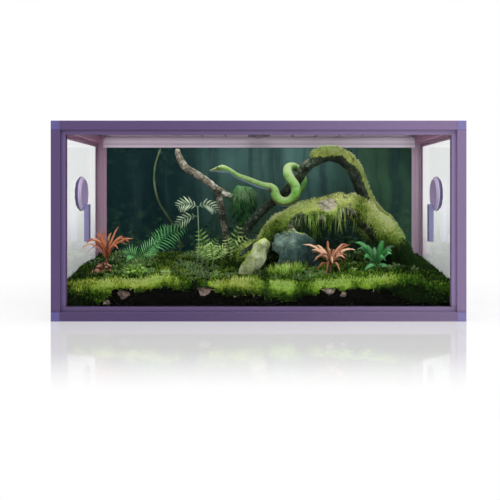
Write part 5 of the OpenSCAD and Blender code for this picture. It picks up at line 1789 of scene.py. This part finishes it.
def plant_all(tree: Tree) -> None:
    """Makes every plant."""
    FernBed("palm", "palm_ferns", (
        Frond((-365, 10, 168), (-238, 0, 250), (0.25, -0.9, 0.4), 46),
        Frond((-365, 10, 168), (-300, 60, 262), (0.2, -0.8, 0.5), 30),
        Frond((-395, -15, 150), (-318, -34, 208), (0.2, -0.85, 0.5), 38),
        Frond((-395, -15, 150), (-438, -40, 164), (-0.2, -0.85, 0.5), 38, 0.26)),
        Leafy(srgb(28, 98, 48), srgb(98, 208, 106), srgb(176, 246, 168), 0.45, 8.0),
        pairs=15, leaflet=(0.085, 0.14), lean=0.50, droop=0.10, rib=0.0016,
        stems=(((-365, 10, 66), (-365, 10, 170), 5.0), ((-395, -15, 66), (-395, -15, 152), 5.0))
    ).make(tree)
    top = (-209, 80, 322)
    FernBed("pale_fern", "pale_fern", (
        Frond(top, (-277, 66, 322), (0, -0.9, 0.35), 40, 0.16),
        Frond(top, (-141, 88, 306), (0, -0.9, 0.35), 34, 0.22),
        Frond((-209, 80, 290), (-286, 92, 256), (0, -0.95, 0.2), 34, 0.14)),
        Leafy(srgb(104, 146, 108), srgb(206, 232, 188), srgb(242, 252, 226), 0.5, 8.0),
        pairs=9, leaflet=(0.16, 0.22), lean=0.66, droop=0.22, rib=0.0014,
        stems=(((-209, 80, 66), (-209, 80, 170), 5.0), ((-209, 80, 160), top, 2.4))
    ).make(tree)
    FernBed("low_fern", "low_ferns", (
        Frond((-170, 30, 148), (-202, 24, 254), (0.1, -0.95, 0.1), 30, 0.05),
        Frond((-170, 30, 148), (-138, 36, 218), (0.1, -0.95, 0.2), 26, 0.08),
        Frond((-170, 30, 148), (-214, 30, 196), (0.1, -0.95, 0.3), 26, 0.10),
        Frond((-95, 60, 148), (-62, 60, 264), (-0.1, -0.95, 0.1), 30, 0.05),
        Frond((-95, 60, 148), (-112, 56, 228), (0.0, -0.95, 0.2), 26, 0.06),
        Frond((-95, 60, 148), (-36, 50, 226), (0.0, -0.95, 0.3), 26, 0.08),
        Frond((-150, -20, 148), (-198, -30, 192), (0.0, -0.9, 0.4), 28, 0.12),
        Frond((-150, -20, 148), (-104, -26, 194), (0.0, -0.9, 0.4), 28, 0.12),
        Frond((-150, -20, 148), (-156, -50, 206), (0.3, -0.8, 0.5), 24, 0.06),
        Frond((-150, -20, 148), (-120, -60, 166), (0.3, -0.6, 0.8), 22, 0.12)),
        Leafy(srgb(60, 104, 40), srgb(158, 204, 98), srgb(222, 244, 162), 0.5, 8.0),
        pairs=9, leaflet=(0.25, 0.20), lean=0.60, droop=0.30, rib=0.0012,
        stems=tuple(((x, y, 66), (x, y, 150), 4.5)
                    for x, y in ((-170, 30), (-95, 60), (-150, -20)))
    ).make(tree)
    Rosette("strap_leaves", "leaf_red", "strap_plant", (-490, -56, 160), (
        ((-42, -16, 48), (-78, -26, 36)), ((-24, -8, 56), (-44, -22, 62)),
        ((-10, 2, 60), (-12, -10, 100)), ((14, 8, 64), (36, 6, 110)),
        ((24, -4, 50), (56, -12, 84)), ((38, 2, 52), (92, -4, 66)),
        ((-26, 14, 60), (-52, 30, 84)), ((22, 20, 50), (52, 40, 70)),
        ((4, -22, 50), (10, -48, 72)), ((30, -14, 46), (76, -30, 50)),
        ((-34, -10, 60), (-66, -20, 58)), ((-30, 4, 44), (-74, -6, 20)),
        ((-16, -8, 66), (-30, -18, 84)), ((30, 6, 62), (74, 2, 78)),
        ((40, -8, 62), (84, -16, 54)), ((10, -6, 62), (22, -8, 92)),
        ((-6, -20, 44), (-24, -44, 50)), ((22, -20, 44), (48, -38, 40))), 8.5, LeafShape.STRAP,
        Leafy(srgb(84, 34, 16), srgb(190, 86, 42), srgb(230, 158, 116), 0.45, 4.0),
        ruffle=0.0010).make()
    Bush("small_leaves", "leafy_plant", foot=(-373, -186, 84), reach=(44, 34, 66), stems=16,
         leaves=7, length=20, width=12,
         finish=Leafy(srgb(28, 68, 10), srgb(84, 142, 32), srgb(174, 222, 92), 0.4, 6.0)).make()
    Rosette("bromeliad_leaves", "leaf_red", "bromeliad", (222, -150, 150),
            whorl(count=20, first=22, step=0.9, low=20, lift=1.6, out=(1.0, 2.3, 1.8),
                  tip_low=0, tip_lift=3.8) + (
                ((-10, -18, 6), (-18, -32, -38)), ((14, -16, 8), (34, -28, -20)),
                ((-22, -12, 8), (-46, -22, -14))), 10.5, LeafShape.STRAP,
            Leafy(srgb(64, 30, 10), srgb(178, 90, 48), srgb(255, 204, 168), 0.35, 4.0),
            ruffle=0.0012).make()
    Rosette("broad_leaves", "leaf_green", "broadleaf_plant", (368, -122, 146),
            whorl(count=18, first=20, step=1.1, low=24, lift=2.0, out=(1.0, 2.0, 1.6),
                  tip_low=12, tip_lift=4.2, turn=20) + (
                ((-16, -16, 4), (-40, -26, -22)), ((18, -16, 4), (44, -26, -18))),
            22, LeafShape.OVAL,
            Leafy(srgb(4, 38, 14), srgb(16, 102, 34), srgb(96, 184, 104), 0.2, 8.0, 0.55)).make()


# ---- Studio ----


@dataclass
class Studio:
    """Camera, lamps, white surroundings and the glossy pale floor."""

    eye: Triple = (0.007, -2.383, 0.378)
    lens: float = 52.0
    shift: tuple[float, float] = (-0.022, -0.119)
    key: float = 28.0
    side: float = 13.0
    top: float = 22.0
    world: float = 0.52

    def camera(self) -> None:
        """The camera, level and square to the front."""
        data = bpy.data.cameras.new("camera")
        data.lens, data.sensor_width = self.lens, 36.0
        data.shift_x, data.shift_y = self.shift
        data.clip_start, data.clip_end = 0.05, 60.0
        eye = link("camera", data)
        eye.location = self.eye
        eye.rotation_euler = (math.radians(90), 0, 0)
        bpy.context.scene.camera = eye

    def lamp(self, name: str, place: Triple, aim: Triple, size: tuple[float, float],
             power: float) -> None:
        """A soft rectangular lamp."""
        data = bpy.data.lights.new(name, "AREA")
        data.shape, data.size, data.size_y, data.energy = "RECTANGLE", size[0], size[1], power
        lamp = link(name, data)
        lamp.location = place
        lamp.rotation_euler = (Vector(aim) - Vector(place)).to_track_quat("-Z", "Y").to_euler()

    def surroundings(self) -> None:
        """A soft grey sky for light, which is white where it is seen."""
        world = bpy.data.worlds.new("studio")
        world.use_nodes = True
        bpy.context.scene.world = world
        sky = Nodes(world.node_tree)
        rays = sky.add("ShaderNodeLightPath").outputs
        mirrored = Value(sky, rays["Is Glossy Ray"]).most(Value(sky, rays["Is Transmission Ray"]))
        seen = Value(sky, rays["Is Camera Ray"]).most(mirrored)
        strength = sky.node("ShaderNodeMapRange", sockets={
            "Value": seen, "To Min": self.world, "To Max": 1.0})
        light = sky.node("ShaderNodeBackground", sockets={
            "Color": (1.0, 1.0, 1.0), "Strength": strength})
        sky.add("ShaderNodeOutputWorld", sockets={"Surface": light})

    def floor(self) -> None:
        """A pale floor that mirrors softly near the cabinet."""
        p = Paint("floor")
        where = p.place()
        x, y = p.axis(where, 0), p.axis(where, 1)
        fade = 1 - (y.size() - 0.300).span(0.33, 0.78)
        beside = 1 - (x * x).span(0.30, 0.95)
        away = (x * x + y * y).span(0.45, 1.6)
        matt = p.node("ShaderNodeBsdfDiffuse", sockets={"Color": (0.97, 0.97, 0.97)})
        seen = p.node("ShaderNodeLightPath", out="Is Camera Ray").most(
            p.node("ShaderNodeLightPath", out="Is Glossy Ray"))
        glow = p.node("ShaderNodeEmission", sockets={"Color": (1.0, 1.0, 1.0), "Strength": 1.0})
        base = p.node("ShaderNodeMixShader", sockets={
            0: seen * (0.62 + 0.38 * away), 1: matt, 2: glow})
        mirror = p.node("ShaderNodeBsdfGlossy", sockets={
            "Color": (1.0, 1.0, 1.0), "Roughness": 0.06})
        material = p.show(p.node("ShaderNodeMixShader", sockets={
            0: fade * beside * 0.42, 1: base, 2: mirror}))
        size = 14.0
        plane = Mesh(np.array([[-size, -size, 0], [size, -size, 0], [size, size, 0],
                               [-size, size, 0.0]]), [(0, 1, 2, 3)], np.zeros((4, 2)), np.zeros(4))
        plane.build("floor", material, False)

    def make(self) -> None:
        """Sets up everything round the cabinet."""
        self.camera()
        self.surroundings()
        self.floor()
        self.lamp("key", (0.2, -2.6, 2.3), (0, 0, 0.3), (2.4, 1.6), self.key)
        self.lamp("right", (2.6, -1.6, 1.4), (0, 0, 0.3), (1.4, 1.8), self.side)
        self.lamp("over", (0.0, -0.1, 1.7), (0, 0.0, 0.3), (1.5, 0.9), self.top)
        bpy.context.scene.view_settings.view_transform = "Standard"


@dataclass
class MossCover:
    """The living moss on carpet, root and branch, and the small herbs between the plants."""

    moss: Mossy = Mossy()
    tufts: Mossy = Mossy(srgb(14, 28, 6), srgb(104, 140, 38), srgb(198, 212, 80),
                         srgb(238, 242, 148), srgb(26, 50, 24), blades=True)
    # A brighter copy of the tufts with painted light, for the moss on the root, the branch and the
    # mound.
    lit: Mossy = Mossy(srgb(24, 44, 10), srgb(128, 162, 52), srgb(222, 236, 116),
                       srgb(250, 254, 190), srgb(52, 84, 34), blades=True, lift=0.12)

    def make(self, tree: Tree, carpet: Object, root: Object, arch: Object) -> None:
        """Grows it.

        Args:
            tree: The tufts' tree.
            carpet: The moss carpet, with its cover, back and herbs values.
            root: The root, with its cover and fringe values.
            arch: The arched branch, with its cover value.
        """
        short = sprig(0.0095, 0.0030).helper("short_sprig")
        long = blade(0.034, 0.0022, 0.010).helper("long_blade")
        strand = blade(0.060, 0.0022, 0.006).helper("strand")
        small = herb(9, 0.013, 0.0065, 0.008).helper("small_herb")
        low, bright = self.tufts.make("moss_tufts"), self.lit.make("bright_moss_tufts")
        leafy = Leafy(srgb(18, 48, 16), srgb(92, 146, 56), srgb(204, 230, 150), 0.4, 2.0)
        for name, base, copy, where, density, size, lean, loose, finish in (
                ("moss_carpet_tufts", carpet, short, "cover", 120000.0, 1.0, (0, 0.25, 0.7),
                 0.5, low),
                ("moss_back_tufts", carpet, short, "back", 74000.0, 1.2, (0, -0.3, 0.5), 0.6,
                 low),
                ("moss_mound_tufts", carpet, long, "mound", 170000.0, 1.1, (0, -0.4, 0.5), 0.6,
                 bright),
                ("mossy_root_tufts", root, short, "cover", 70000.0, 1.1, (0, -0.4, -0.2),
                 0.6, bright),
                ("mossy_root_fringe", root, long, "fringe", 26000.0, 0.8, (0, -0.3, -1.8), 0.4,
                 bright),
                ("mossy_root_curtain", root, strand, "curtain", 26000.0, 0.9, (0, -0.1, -3.2),
                 0.16, bright),
                ("arched_branch_tufts", arch, short, "cover", 150000.0, 1.0, (0, -0.3, 0.3),
                 0.7, bright)):
            piece = tree.grow(base, name, {
                "Blade": copy, "Where": where, "Density": density, "Size": size, "Seed": 3,
                "Lean": lean, "Loose": loose, "Finish": finish,
                "Sun": (0.0, -1.0, 0.0) if finish is bright else (0.0, 0.0, 0.0)})
            settle(piece, "moss")
        settle(tree.grow(carpet, "small_herbs", {
            "Blade": small, "Where": "herbs", "Density": 6500.0, "Size": 1.5, "Seed": 9,
            "Lean": (0.0, -0.5, 0.6), "Loose": 0.35, "Finish": leafy.make("herb_leaf")}),
            "leaf_green")
        remove(short, long, strand, small)


def main() -> None:
    """Builds everything in order."""
    Studio().make()
    dress_cabinet()
    tufts, fronds = tufts_tree(), fronds_tree()
    cover = MossCover()
    ground = Ground()
    ground.soil(Rough(srgb(1, 2, 1), srgb(7, 8, 5), srgb(44, 38, 28), 55.0, relief=0.006,
                      gloss=0.04))
    carpet = ground.carpet(cover.moss)
    Rocks().make()
    wood = Wood()
    root, arch = wood.root(), wood.arch()
    cover.make(tufts, carpet, root, arch)
    wood.driftwood()
    wood.liana()
    hair = blade(0.030, 0.0022, 0.006).helper("hair")
    wood.hanging(tufts, hair)
    remove(hair)
    Snake().make()
    plant_all(fronds)


if __name__ == "__main__":
    main()
